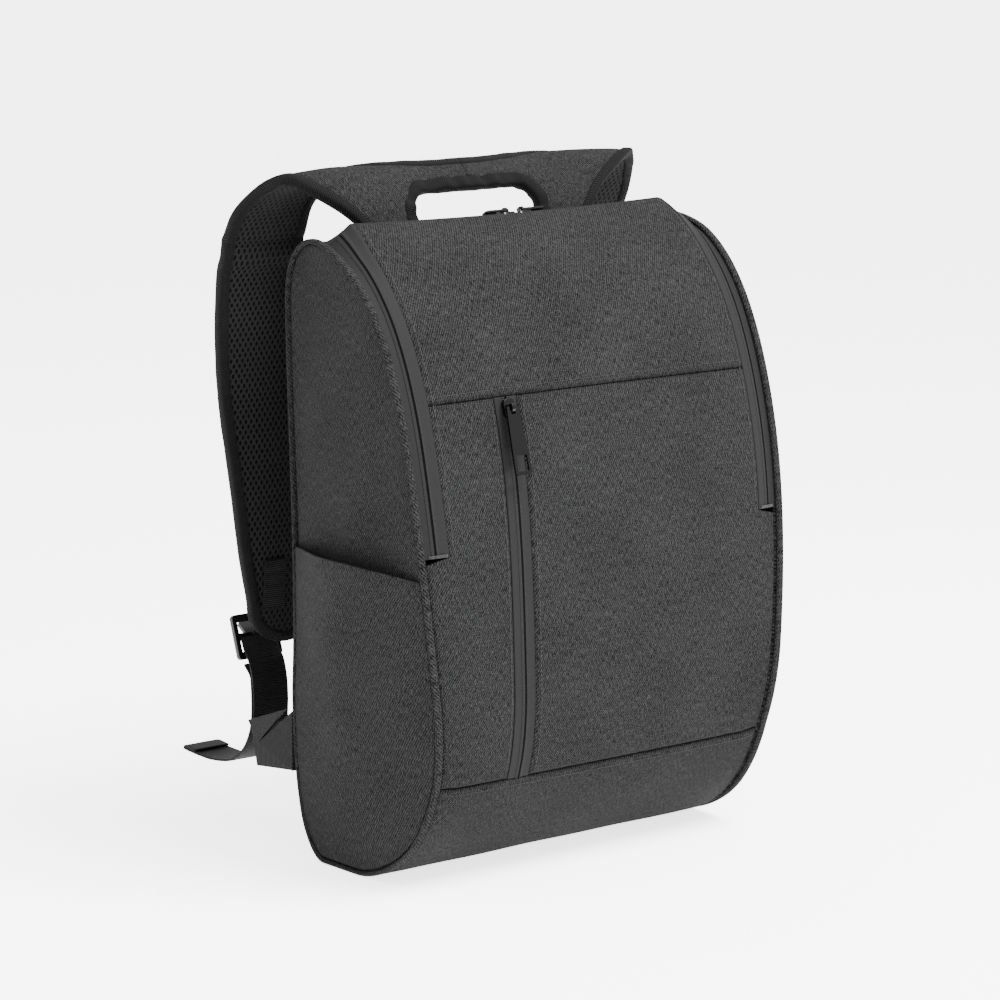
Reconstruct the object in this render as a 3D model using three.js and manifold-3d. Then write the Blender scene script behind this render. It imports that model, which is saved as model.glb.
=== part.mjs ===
// A laptop backpack with a one-piece shoulder yoke that carries its own grab handle.
// Millimetres, +Z up, +X to the right seen from the front, -Y to the front.
// The origin is the middle of the flat base that the pack stands on.
import * as THREE from "three";
import { mergeVertices } from "three/addons/utils/BufferGeometryUtils.js";
import Module from "manifold-3d";

const wasm = await Module();
wasm.setup();

// Body: its outer sizes and its walls
const bodyWidth = 296; // across the side panels at the back and the base
const bodyDepth = 170; // back panel to the fullest point of the front
const sideHeight = 434; // floor to the top of a side panel
const backOffset = 60; // base centre to the plane of the back panel
const baseFlat = 36; // the flat strip that stands on the floor
const baseShift = 3; // its middle behind the base centre
const frontFlare = 14; // how far each side leans out at the front
const flareDepth = 85; // from the back, where the flare is complete
const flareFrom = 80; // heights between which the flare grows
const flareTo = 300;
const backLean = 1; // the back seam's depth at its top, in its belly and where it turns under
const backBelly = 12;
const backTuck = 5;
const frontCorner = 135; // height of the fullest point of the front
const backCorner = 120; // height where the back panel turns under
const topCorner = 42; // drop of the rounded upper back corner
const topSetback = 40; // from the back panel to the highest point of the side
const sideWall = 3;
const frontWall = 4;
const flapWall = 3;
const baseWall = 4;
const backWall = 6;
const gussetWall = 3;
const tapeWall = 1.6;
const seamGap = 0.3; // between two sewn pieces
const clearGap = 0.5; // between pieces that follow one another round a bend

// Front: the raised flap with its zip, and the upright pocket zip
const tapeWidth = 17; // main zip tape between the piping and the flap
const ridgeRise = 16; // height of the flap's back ridge above the side panel
const ridgeSetback = 57; // ridge to the back panel
const topTapeRun = 14; // along the top, from the ridge down to the gusset
const frontCrown = 13; // how far the middle of the flap stands proud of its edges
const lowerSeamHeight = 75;
const mainZipEndHeight = 228;
const flapSeamHeight = 333;
const backSeamHeight = 24; // base panel to back panel
const gussetSeamHeight = 421; // back panel to top gusset
const pocketZipPlace = -78;
const pocketZipWidth = 18;
const pocketZipSink = 0.5; // its tape below the front's face

// Piping along both side seams
const pipingRadius = 1.8;
const pipingSides = 8;
const pipingTuck = 34; // height over which it turns up beside the base

// Side pockets
const pocketHeight = 220;
const pocketCrest = 5; // the hem stands this much higher in its middle
const pocketBulge = 14;
const pocketWall = 2;
const pocketInset = 1.2;

// Yoke, straps and handle
const strapBack = 70; // back panel plane to the outer face of a strap at its lower end
const yokeRise = 47; // above the top gusset
const strapDrop = 297; // gusset down to the round lower end
const strapSpread = 179; // middle of the pack to a strap's widest point
const yokeSetback = 27; // front face of the yoke, from the back panel plane
const strapFabric = 4.2; // outer cloth with its foam
const strapMesh = 3; // ventilated inner face
const strapBinding = 9; // width of the ribbed edge binding
const bindingPuff = 0.6; // how far a binding stands proud of the strap faces
const strapEndRound = 28;
const neckDepth = 59; // along the yoke, where the neck opening starts
const neckRun = 50;
const neckPower = 2.6;
const handleHalf = 54;
const handleRise = 30;
const handleBinding = 11;
const handleCorner = 16;

// Webbing and buckles
const webWidth = 30;
const webThick = 1.5;
const lockPlace = strapSpread * 0.68; // middle of a ladder lock from the middle of the pack
const lockWidth = 38;
const lockBar = 5.5;
const lockSlot = 8;
const lockThick = 3.6;
const lockCorner = 3;
const lockTilt = 18; // degrees, its top leaning back
const lockSetback = 10; // its middle behind the strap's outer face
const lockRise = 4; // its middle above the strap's lower end
const thumbWidth = 16;
const thumbLength = 15;
const thumbThick = 3;
const thumbLift = 50; // degrees
const patchWidth = 18; // webbing sewn to both faces of a strap's lower end
const patchTop = 64;
const patchFoot = 29;
const loopTop = 52;
const loopFoot = 13;
const webSlant = 27; // how far forward the webbing runs from the lock to its foot
const tailStart = 18; // below the top of the webbing
const tailLow = 47; // the tail's lowest point above the floor
const tailReach = 83;
const tabTop = 102;
const tabFoot = 59;
const tabReach = 39;
const tabApex = 72;
const tabThick = 1.6;
const foldReach = 51.5;
const foldTop = 86;
const foldFoot = 54;
const foldStep = 8; // how far the folded webbing shows past the tab
const webSeat = 12; // foot of the webbing above the foot of the fold
const edgeLoopFoot = 104;
const edgeLoopLength = 17;
const edgeLoopReach = 6;
const edgeLoopThick = 2.4;
const edgeLoopStart = 0.6;

// Zip sliders and pulls
const sliderWidth = 9;
const sliderLength = 13;
const sliderThick = 3;
const bridgeWidth = 2.6;
const bridgeWall = 1.3;
const bridgeBore = 3;
const bridgeFoot = 0.4; // metal between the slider and the bore
const pullThick = 1.6;
const pullClear = 0.5; // play between a pull and its bridge
const frontPullLength = 46;
const frontPullWidth = 14;
const frontPullWaist = 9.5;
const frontPullWindow = 11; // its open end window
const pullRim = 2.4; // round that window
const pullTip = 1.4; // its cut corners
const mainPullLength = 19;
const mainPullWidth = 7;
const mainPullWaist = 6.4;
const frontSliderDrop = 9; // below the flap seam
const mainSliderMeet = 8; // where the two main sliders meet, from the middle
const mainSliderGap = 1.5;
const mainSliderShare = 0.3; // of the way down the top tape

// Finishes
const finish = (color, roughness, metalness = 0) =>
  new THREE.MeshStandardMaterial({ color, roughness, metalness });
const shellCloth = finish(0x3c3c3e, 0.9);
const tapeCloth = finish(0x303032, 0.8);
const meshCloth = finish(0x161617, 0.95);
const bindingCloth = finish(0x232324, 0.9);
const webbing = finish(0x17171a, 0.75);
const buckle = finish(0x101012, 0.4);
const blackMetal = finish(0x0c0c0e, 0.25, 0.9);

const clamp01 = (value) => Math.min(1, Math.max(0, value));
const mix = (a, b, share) => a + (b - a) * share;
const smooth = (share) => share * share * (3 - 2 * share);

// A closed body from points and triangles, turned so that its faces point out
function body(points, triangles) {
  const corner = (index) => points[index];
  let volume = 0;
  for (const [a, b, c] of triangles) {
    volume += corner(a).dot(new THREE.Vector3().crossVectors(corner(b), corner(c)));
  }
  const ordered = volume < 0 ? triangles.map(([a, b, c]) => [a, c, b]) : triangles;
  const geometry = new THREE.BufferGeometry().setFromPoints(points);
  geometry.setIndex(ordered.flat());
  geometry.computeVertexNormals();
  return geometry;
}

// A sheet with thickness: two matching grids of points and the rim that joins them
function sheet(outer, inner) {
  const rows = outer.length;
  const columns = outer[0].length;
  const points = [...outer, ...inner].flat();
  const at = (layer, row, column) => (layer * rows + row) * columns + column;
  const triangles = [];
  const quad = (a, b, c, d) => triangles.push([a, b, c], [a, c, d]);
  for (let row = 0; row + 1 < rows; row++) {
    for (let column = 0; column + 1 < columns; column++) {
      quad(at(0, row, column), at(0, row, column + 1), at(0, row + 1, column + 1), at(0, row + 1, column));
      quad(at(1, row, column), at(1, row + 1, column), at(1, row + 1, column + 1), at(1, row, column + 1));
    }
  }
  for (let column = 0; column + 1 < columns; column++) {
    const last = rows - 1;
    quad(at(0, 0, column + 1), at(0, 0, column), at(1, 0, column), at(1, 0, column + 1));
    quad(at(0, last, column), at(0, last, column + 1), at(1, last, column + 1), at(1, last, column));
  }
  for (let row = 0; row + 1 < rows; row++) {
    const last = columns - 1;
    quad(at(0, row, 0), at(0, row + 1, 0), at(1, row + 1, 0), at(1, row, 0));
    quad(at(0, row + 1, last), at(0, row, last), at(1, row, last), at(1, row + 1, last));
  }
  return body(points, triangles);
}

// A tube through rings of points, closed on itself or capped at both ends
function tube(rings, isLoop) {
  const sides = rings[0].length;
  const points = rings.flat();
  const triangles = [];
  const count = isLoop ? rings.length : rings.length - 1;
  for (let ring = 0; ring < count; ring++) {
    const next = (ring + 1) % rings.length;
    for (let side = 0; side < sides; side++) {
      const after = (side + 1) % sides;
      const [a, b] = [ring * sides + side, ring * sides + after];
      const [c, d] = [next * sides + after, next * sides + side];
      triangles.push([a, b, c], [a, c, d]);
    }
  }
  if (!isLoop) {
    const last = (rings.length - 1) * sides;
    for (let side = 1; side + 1 < sides; side++) {
      triangles.push([0, side + 1, side], [last, last + side, last + side + 1]);
    }
  }
  return body(points, triangles);
}

// A round panel: rings of points that shrink to a middle point, as an outer and an inner face
function disc(outerRings, outerMiddle, innerRings, innerMiddle) {
  const count = outerRings[0].length;
  const points = [...outerRings.flat(), ...innerRings.flat(), outerMiddle, innerMiddle];
  const half = outerRings.length * count;
  const triangles = [];
  for (let side = 0; side < count; side++) {
    const after = (side + 1) % count;
    for (const [layer, middle] of [[0, 2 * half], [half, 2 * half + 1]]) {
      const flip = (a, b, c) => triangles.push(layer ? [a, c, b] : [a, b, c]);
      for (let ring = 0; ring + 1 < outerRings.length; ring++) {
        const [a, b] = [layer + ring * count + side, layer + ring * count + after];
        flip(a, b, b + count);
        flip(a, b + count, a + count);
      }
      const last = layer + (outerRings.length - 1) * count;
      flip(last + side, last + after, middle);
    }
    triangles.push([after, side, half + side], [after, half + side, half + after]);
  }
  return body(points, triangles);
}

function mirrored(geometry) {
  const points = [];
  const position = geometry.getAttribute("position");
  for (let i = 0; i < position.count; i++) {
    points.push(new THREE.Vector3(-position.getX(i), position.getY(i), position.getZ(i)));
  }
  const triangles = [];
  for (let i = 0; i < geometry.index.count; i += 3) {
    triangles.push([0, 1, 2].map((corner) => geometry.index.getX(i + corner)));
  }
  return body(points, triangles);
}

const pack = new THREE.Group();

function add(name, geometry, material) {
  const mesh = new THREE.Mesh(geometry, material);
  mesh.name = name;
  pack.add(mesh);
  return mesh;
}

// The left piece is made as a pattern and the right one is its mirror image
function addPair(name, geometry, material) {
  add(`${name}_left`, geometry, material);
  add(`${name}_right`, mirrored(geometry), material);
}

// Side outline, in depth from the back panel and height: the base, the swelling front, the top,
// the rounded upper back corner, the back panel and its turn under the base
const baseBack = backOffset - baseShift - baseFlat / 2;
const baseFront = baseBack + baseFlat;
const outlineSegments = [
  { cuts: 1, path: [[baseBack, 0], [baseFront, 0]] },
  {
    cuts: 7,
    path: [[baseFront, 0], [mix(baseFront, bodyDepth, 0.44), 0],
      [bodyDepth, frontCorner * 0.34], [bodyDepth, frontCorner]],
  },
  {
    cuts: 13,
    path: [[bodyDepth, frontCorner], [bodyDepth * 0.97, mix(frontCorner, sideHeight, 0.46)],
      [bodyDepth * 0.83, sideHeight], [topSetback, sideHeight]],
  },
  {
    cuts: 4,
    path: [[topSetback, sideHeight], [topSetback * 0.3, sideHeight],
      [backLean, sideHeight - topCorner * 0.4], [backLean, sideHeight - topCorner]],
  },
  {
    cuts: 6,
    path: [[backLean, sideHeight - topCorner], [backLean, mix(backCorner, sideHeight, 0.6)],
      [backBelly, mix(backCorner, sideHeight, 0.3)], [backTuck, backCorner]],
  },
  {
    cuts: 6,
    path: [[backTuck, backCorner], [backTuck, backCorner * 0.45], [baseBack * 0.4, 0], [baseBack, 0]],
  },
];

function segmentCurve(path) {
  const points = path.map(([depth, height]) => new THREE.Vector2(depth, height));
  return points.length > 2 ? new THREE.CubicBezierCurve(...points) : new THREE.LineCurve(...points);
}

function bodyOutline() {
  const corners = [];
  for (const { cuts, path } of outlineSegments) {
    const spaced = segmentCurve(path).getSpacedPoints(cuts);
    corners.push(...spaced.slice(0, -1).map((point) => ({ y: backOffset - point.x, z: point.y })));
  }
  let arc = 0;
  corners.forEach((corner, index) => {
    const before = corners[(index + corners.length - 1) % corners.length];
    const after = corners[(index + 1) % corners.length];
    const along = new THREE.Vector2(after.y - before.y, after.z - before.z).normalize();
    Object.assign(corner, { ny: -along.y, nz: along.x, arc });
    arc += Math.hypot(after.y - corner.y, after.z - corner.z);
  });
  // The base stays flat, so its ends point straight down
  for (const corner of corners) {
    if (corner.z === 0) {
      Object.assign(corner, { ny: 0, nz: -1 });
    }
  }
  return { corners, length: arc };
}

const outline = bodyOutline();

// A station of the outline, on the straight stretch between two of its corners
function outlineAt(arc) {
  const wrapped = ((arc % outline.length) + outline.length) % outline.length;
  const next = outline.corners.findIndex((corner) => corner.arc > wrapped);
  const end = next < 0 ? { ...outline.corners[0], arc: outline.length } : outline.corners[next];
  const start = outline.corners[(next < 0 ? outline.corners.length : next) - 1];
  const share = (wrapped - start.arc) / (end.arc - start.arc);
  const station = { arc };
  for (const key of ["y", "z", "ny", "nz"]) {
    station[key] = mix(start[key], end[key], share);
  }
  return station;
}

function outlineStations(from, to) {
  const stations = [outlineAt(from)];
  for (const turn of [-outline.length, 0]) {
    for (const corner of outline.corners) {
      const arc = corner.arc + turn;
      if (arc > from + clearGap && arc < to - clearGap) {
        stations.push({ ...corner, arc });
      }
    }
  }
  return [...stations, outlineAt(to)];
}

// Where the outline crosses a height or a depth, going round from the base's back edge
const arcStep = 0.5;
function arcWhere(start, test) {
  let arc = start;
  while (!test(outlineAt(arc))) {
    arc += arcStep;
  }
  return arc;
}
const frontArc = (height) => arcWhere(baseFlat, (station) => station.z >= height);
const topArc = frontArc(sideHeight * 0.93);
const ridgeArc = arcWhere(topArc, (station) => station.y >= backOffset - ridgeSetback);
const backArc = (height) => arcWhere(ridgeArc + topTapeRun + topSetback, (station) => station.z <= height);

const lowerSeamArc = frontArc(lowerSeamHeight);
const mainZipEndArc = frontArc(mainZipEndHeight);
const flapSeamArc = frontArc(flapSeamHeight);
const topTapeArc = ridgeArc + topTapeRun;
const gussetSeamArc = backArc(gussetSeamHeight);
const backSeamArc = backArc(backSeamHeight);

// Half the width over the side panels, with the flare towards the upper front
function halfWidthAt(y, z) {
  const forward = smooth(clamp01((backOffset - y) / flareDepth));
  const upward = Math.sin((Math.PI / 2) * clamp01((z - flareFrom) / (flareTo - flareFrom)));
  return bodyWidth / 2 + frontFlare * forward * upward;
}
const panelHalf = (y, z) => halfWidthAt(y, z) - sideWall - seamGap;

// How the front stands off the side outline, going up: the ramp beside the piping and the crown
const bandSections = [
  { height: 0, ramp: 0, crown: 0 },
  { height: 0.17, ramp: 0.19, crown: 0.06 },
  { height: 0.3, ramp: 0.14, crown: 0 },
  { height: 0.41, ramp: 0.19, crown: 0.02 },
  { height: 0.53, ramp: 0.25, crown: 0.1 },
  { height: 0.69, ramp: 0.26, crown: 0.35 },
  { height: 0.83, ramp: 0.25, crown: 0.5 },
  { height: 0.94, ramp: 0.28, crown: 0.5 },
  { height: 0.975, ramp: 0.5, crown: 0.35 },
].map(({ height, ramp, crown }) => ({
  arc: frontArc(height * sideHeight),
  ramp: ramp * ridgeRise,
  crown: crown * frontCrown,
}));
bandSections.push(
  { arc: ridgeArc, ramp: ridgeRise, crown: -0.2 * frontCrown },
  { arc: topTapeArc, ramp: 0, crown: 0 },
  { arc: outline.length, ramp: 0, crown: 0 },
);

function tableAt(table, arc, key) {
  if (arc <= table[0].arc) {
    return table[0][key];
  }
  const next = table.findIndex((row) => row.arc >= arc);
  const [start, end] = [table[next - 1], table[next]];
  return mix(start[key], end[key], (arc - start.arc) / (end.arc - start.arc));
}

// A point of the band that wraps round the pack, x from the middle, sunk below the outer face
function bandPoint(station, x, sink) {
  const half = panelHalf(station.y, station.z);
  const ramp = clamp01((half - Math.abs(x)) / tapeWidth);
  const across = 1 - (x / (half - tapeWidth)) ** 2;
  const lift = tableAt(bandSections, station.arc, "ramp") * ramp
    + tableAt(bandSections, station.arc, "crown") * Math.max(0, across) - sink;
  const sunkHalf = panelHalf(station.y - station.ny * sink, station.z - station.nz * sink);
  return new THREE.Vector3(
    x * (sunkHalf / half),
    station.y + station.ny * lift,
    station.z + station.nz * lift,
  );
}

const edgeAt = (side) => (station) => side * panelHalf(station.y, station.z);
const tapeEdgeAt = (side, gap) => (station) => side * (panelHalf(station.y, station.z) - tapeWidth - gap);
const zipEdgeAt = (side, gap) => () => pocketZipPlace + side * (pocketZipWidth / 2 + gap);

// One panel of the band, between two seams and two edges
function bandPanel({ from, to, left, right, wall, columns, sink = 0, extra = [] }) {
  const stations = [...outlineStations(from, to), ...extra.map(outlineAt)];
  stations.sort((a, b) => a.arc - b.arc);
  const grid = (depth) => stations.map((station) => {
    const [start, end] = [left(station), right(station)];
    return Array.from({ length: columns + 1 }, (_, column) =>
      bandPoint(station, mix(start, end, column / columns), depth));
  });
  return sheet(grid(sink), grid(sink + wall));
}

// Below the end of the main zip the front reaches the piping; above it, the tape comes between
const stepArc = mainZipEndArc - seamGap;
const frontEdgeAt = (side) => (station) =>
  (station.arc <= stepArc ? edgeAt(side) : tapeEdgeAt(side, seamGap))(station);

add("base_panel", bandPanel({
  from: backSeamArc - outline.length,
  to: lowerSeamArc - seamGap,
  left: edgeAt(-1),
  right: edgeAt(1),
  wall: baseWall,
  columns: 8,
}), shellCloth);
const frontSpan = {
  from: lowerSeamArc,
  to: flapSeamArc - seamGap,
  wall: frontWall,
  extra: [stepArc, mainZipEndArc],
};
add("front_panel_left", bandPanel({
  ...frontSpan,
  left: frontEdgeAt(-1),
  right: zipEdgeAt(-1, seamGap),
  columns: 3,
}), shellCloth);
add("front_panel_right", bandPanel({
  ...frontSpan,
  left: zipEdgeAt(1, seamGap),
  right: frontEdgeAt(1),
  columns: 7,
}), shellCloth);
add("front_zip", bandPanel({
  ...frontSpan,
  extra: [],
  left: zipEdgeAt(-1, 0),
  right: zipEdgeAt(1, 0),
  wall: tapeWall,
  sink: pocketZipSink,
  columns: 2,
}), tapeCloth);
add("flap_panel", bandPanel({
  from: flapSeamArc,
  to: ridgeArc,
  left: tapeEdgeAt(-1, seamGap),
  right: tapeEdgeAt(1, seamGap),
  wall: flapWall,
  columns: 10,
}), shellCloth);
addPair("main_zip", bandPanel({
  from: mainZipEndArc + seamGap,
  to: ridgeArc,
  left: edgeAt(-1),
  right: tapeEdgeAt(-1, 0),
  wall: tapeWall,
  columns: 2,
}), tapeCloth);
add("main_zip_top", bandPanel({
  from: ridgeArc + seamGap,
  to: topTapeArc,
  left: edgeAt(-1),
  right: edgeAt(1),
  wall: tapeWall,
  columns: 20,
}), tapeCloth);
add("top_gusset", bandPanel({
  from: topTapeArc + seamGap,
  to: gussetSeamArc,
  left: edgeAt(-1),
  right: edgeAt(1),
  wall: gussetWall,
  columns: 2,
}), shellCloth);
add("back_panel", bandPanel({
  from: gussetSeamArc + seamGap,
  to: backSeamArc - seamGap,
  left: edgeAt(-1),
  right: edgeAt(1),
  wall: backWall,
  columns: 4,
}), meshCloth);

// Side panels: flat cloth with foam, pulled out at the front by the flare
const ringShares = [1, 0.8, 0.55, 0.28];
function sidePanel() {
  const middle = { y: backOffset - bodyDepth * 0.48, z: sideHeight * 0.45 };
  const face = (depth) => ringShares.map((share) => outline.corners.map((corner) => {
    const y = mix(middle.y, corner.y, share);
    const z = mix(middle.z, corner.z, share);
    return new THREE.Vector3(-halfWidthAt(y, z) + depth, y, z);
  }));
  const centre = (depth) =>
    new THREE.Vector3(-halfWidthAt(middle.y, middle.z) + depth, middle.y, middle.z);
  return disc(face(0), centre(0), face(sideWall), centre(sideWall));
}
addPair("side_panel", sidePanel(), shellCloth);

// Piping: a covered cord outside the corner where side and band meet, tucked up beside the base
const tuckAt = (z) => 1 - smooth(clamp01(z / pipingTuck));
function piping() {
  const seat = pipingRadius + seamGap;
  return tube(outline.corners.map((corner) => {
    const half = halfWidthAt(corner.y, corner.z);
    const tuck = tuckAt(corner.z);
    const out = mix(seat * Math.SQRT1_2, seat, Math.sqrt(tuck));
    const rise = mix(seat * Math.SQRT1_2, -pipingRadius, tuck);
    return Array.from({ length: pipingSides }, (_, side) => {
      const angle = (2 * Math.PI * side) / pipingSides;
      const along = rise + pipingRadius * Math.sin(angle);
      return new THREE.Vector3(
        -half - out - pipingRadius * Math.cos(angle),
        corner.y + corner.ny * along,
        corner.z + corner.nz * along,
      );
    });
  }), true);
}
addPair("piping", piping(), shellCloth);

// Side pockets: a slack panel sewn into the side seams and hemmed across its top
function edgesAtHeight(height) {
  const front = outlineAt(frontArc(height));
  const back = outlineAt(backArc(height));
  return { front: front.y, back: back.y };
}

function pocketOut(y, z) {
  const edges = edgesAtHeight(Math.max(z, pocketInset));
  const across = clamp01((edges.back - y) / (edges.back - edges.front));
  const upward = clamp01(z / (pocketHeight * 0.55));
  return pocketBulge * Math.sin(Math.PI * across) * Math.sin((Math.PI / 2) * upward);
}

function sidePocket() {
  const from = backArc(pocketHeight) - outline.length;
  const sewn = outlineStations(from, frontArc(pocketHeight)).map((station) => {
    const inset = pocketInset + (2 * pipingRadius + seamGap) * tuckAt(station.z);
    return { y: station.y - station.ny * inset, z: station.z - station.nz * inset };
  });
  const hemCuts = 7;
  const [back, front] = [sewn[0], sewn[sewn.length - 1]];
  const hem = Array.from({ length: hemCuts - 1 }, (_, index) => {
    const share = (index + 1) / hemCuts;
    return { y: mix(front.y, back.y, share), z: pocketHeight + pocketCrest * Math.sin(Math.PI * share) };
  });
  const rim = [...sewn, ...hem];
  const middle = { y: backOffset - bodyDepth * 0.48, z: pocketHeight * 0.55 };
  const pointAt = (corner, share, depth) => {
    const y = mix(middle.y, corner.y, share);
    const z = mix(middle.z, corner.z, share);
    return new THREE.Vector3(-halfWidthAt(y, z) - clearGap - pocketOut(y, z) - depth, y, z);
  };
  const face = (depth) => ringShares.map((share) => rim.map((corner) => pointAt(corner, share, depth)));
  return disc(face(pocketWall), pointAt(middle, 1, pocketWall), face(0), pointAt(middle, 1, 0));
}
addPair("side_pocket", sidePocket(), shellCloth);

// Strap pattern, from its seat on the top gusset, over the shoulder and down to its round end:
// back and up place the outer face, inner and outer are its edges from the middle of the pack,
// and turn and dip move the outer edge back and up against the inner one
const seatHeight = outlineAt(arcWhere(topTapeArc, (station) => station.y >= backOffset - yokeSetback)).z;
const strapSections = [
  { back: -0.386, up: 0.01, inner: 0.62, outer: 0.536, turn: 0, dip: 0 },
  { back: -0.371, up: 0.2, inner: 0.62, outer: 0.581, turn: 0, dip: 0 },
  { back: -0.286, up: 0.468, inner: 0.62, outer: 0.654, turn: 0, dip: 0 },
  { back: -0.157, up: 0.745, inner: 0.62, outer: 0.771, turn: -0.043, dip: 0 },
  { back: -0.057, up: 0.915, inner: 0.62, outer: 0.844, turn: -0.086, dip: 0 },
  { back: 0.05, up: 1, inner: 0.62, outer: 0.888, turn: -0.129, dip: -0.03 },
  { back: 0.157, up: 1, inner: 0.62, outer: 0.922, turn: -0.129, dip: -0.11 },
  { back: 0.257, up: 0.915, inner: 0.62, outer: 0.944, turn: -0.114, dip: -0.14 },
  { back: 0.343, up: 0.745, inner: 0.62, outer: 0.966, turn: -0.1, dip: -0.12 },
  { back: 0.443, up: 0.447, inner: 0.62, outer: 0.994, turn: -0.071, dip: -0.06 },
  { back: 0.543, up: 0.005, inner: 0.62, outer: 1, turn: -0.029, dip: 0 },
  { back: 0.657, up: -0.077, inner: 0.62, outer: 0.989, turn: 0, dip: 0 },
  { back: 0.771, up: -0.226, inner: 0.598, outer: 0.972, turn: 0, dip: 0 },
  { back: 0.829, up: -0.397, inner: 0.57, outer: 0.944, turn: 0, dip: 0 },
  { back: 0.857, up: -0.593, inner: 0.514, outer: 0.888, turn: 0, dip: 0 },
  { back: 0.914, up: -0.785, inner: 0.455, outer: 0.83, turn: 0, dip: 0 },
  { back: 0.971, up: -0.906, inner: 0.419, outer: 0.777, turn: 0, dip: 0 },
  { back: 1, up: -1, inner: 0.419, outer: 0.76, turn: 0, dip: 0 },
].map(({ back, up, inner, outer, turn, dip }) => ({
  y: backOffset + back * strapBack,
  z: seatHeight + up * (up > 0 ? yokeRise : strapDrop),
  inner: inner * strapSpread,
  outer: outer * strapSpread,
  turn: turn * strapBack,
  dip: dip * yokeRise,
}));

// The pattern is smoothed through its sections and measured along its outer face
function smoothPattern(sections, cuts) {
  const rows = [];
  const at = (index) => sections[Math.min(sections.length - 1, Math.max(0, index))];
  for (let index = 0; index + 1 < sections.length; index++) {
    for (let cut = 0; cut < cuts; cut++) {
      const share = cut / cuts;
      const row = {};
      for (const key of Object.keys(sections[0])) {
        const [a, b, c, d] = [index - 1, index, index + 1, index + 2].map((each) => at(each)[key]);
        row[key] = b + 0.5 * share * (c - a + share * (2 * a - 5 * b + 4 * c - d
          + share * (3 * (b - c) + d - a)));
      }
      rows.push(row);
    }
  }
  rows.push({ ...sections[sections.length - 1] });
  rows.forEach((row, index) => {
    const before = rows[Math.max(0, index - 1)];
    const after = rows[Math.min(rows.length - 1, index + 1)];
    const along = new THREE.Vector2(after.y - before.y, after.z - before.z).normalize();
    const step = index ? Math.hypot(row.y - before.y, row.z - before.z) : 0;
    Object.assign(row, { ny: -along.y, nz: along.x, arc: (index ? before.arc : 0) + step });
  });
  return rows;
}
const strapRows = smoothPattern(strapSections, 3);
const strapLength = strapRows[strapRows.length - 1].arc;

const spread = (from, to, count) => Array.from({ length: count }, (_, i) => mix(from, to, i / count));

function strapRow(arc) {
  const row = { arc };
  const wanted = Math.min(strapLength, Math.max(0, arc));
  for (const key of ["y", "z", "ny", "nz", "inner", "outer", "turn", "dip"]) {
    row[key] = tableAt(strapRows, wanted, key);
  }
  return row;
}

// A point of the left strap: x from the middle of the pack, depth below its outer face
function strapPoint(arc, x, depth) {
  const row = strapRow(arc);
  const span = strapSpread * 0.335;
  const across = clamp01((Math.abs(x) - span) / (row.outer - span));
  return new THREE.Vector3(
    -x,
    row.y + row.turn * across - row.ny * depth,
    row.z + row.dip * across - row.nz * depth,
  );
}

// The edge of the strap pattern as arc and distance from the middle of the pack: down the outer
// edge, round the lower end, up the inner edge and round the neck to the centre seam
function strapEdge() {
  const line = [];
  const start = strapLength - strapEndRound;
  const neckEnd = neckDepth + neckRun;
  for (const arc of [...spread(0, neckEnd, 12), ...spread(neckEnd, start, 6)]) {
    line.push([arc, strapRow(arc).outer]);
  }
  const end = strapRow(start);
  const middle = (end.inner + end.outer) / 2;
  const half = (end.outer - end.inner) / 2;
  for (const angle of [...spread(0, Math.PI, 8), Math.PI]) {
    line.push([start + strapEndRound * Math.sin(angle), middle + half * Math.cos(angle)]);
  }
  for (const arc of spread(start, neckEnd, 6).slice(1)) {
    line.push([arc, strapRow(arc).inner]);
  }
  for (const angle of [...spread(Math.PI / 2, 0, 8), 0]) {
    const arc = neckDepth + neckRun * (1 - Math.cos(angle) ** (2 / neckPower));
    line.push([arc, strapRow(arc).inner * Math.sin(angle) ** (2 / neckPower)]);
  }
  return line;
}

// The same edge moved in by an inset, as the binding and the sheets need it
function strapInset(inset) {
  const line = strapEdge();
  return line.map(([arc, x], index) => {
    const before = line[Math.max(0, index - 1)];
    const after = line[Math.min(line.length - 1, index + 1)];
    const along = new THREE.Vector2(after[0] - before[0], after[1] - before[1]).normalize();
    const isCentre = index + 1 === line.length;
    return isCentre ? [arc - inset, seamGap / 2] : [arc + along.y * inset, x - along.x * inset];
  });
}

// The upper edge of the handle opening in the yoke, from its seat to the centre, moved out
function handleEdge(inset) {
  const side = handleHalf + inset;
  const top = handleRise + inset;
  const corner = handleCorner + inset;
  const line = [[0, side]];
  for (const angle of [...spread(0, Math.PI / 2, 4), Math.PI / 2]) {
    line.push([top - corner + corner * Math.sin(angle), side - corner + corner * Math.cos(angle)]);
  }
  return line;
}

// Distance from the middle where an edge line crosses an arc, carried on past its ends
function crossing(line, arc) {
  const found = line.findIndex((point) => point[0] >= arc);
  const next = found < 0 ? line.length - 1 : Math.max(1, found);
  const [start, end] = [line[next - 1], line[next]];
  return mix(start[1], end[1], (arc - start[0]) / (end[0] - start[0]));
}

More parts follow.
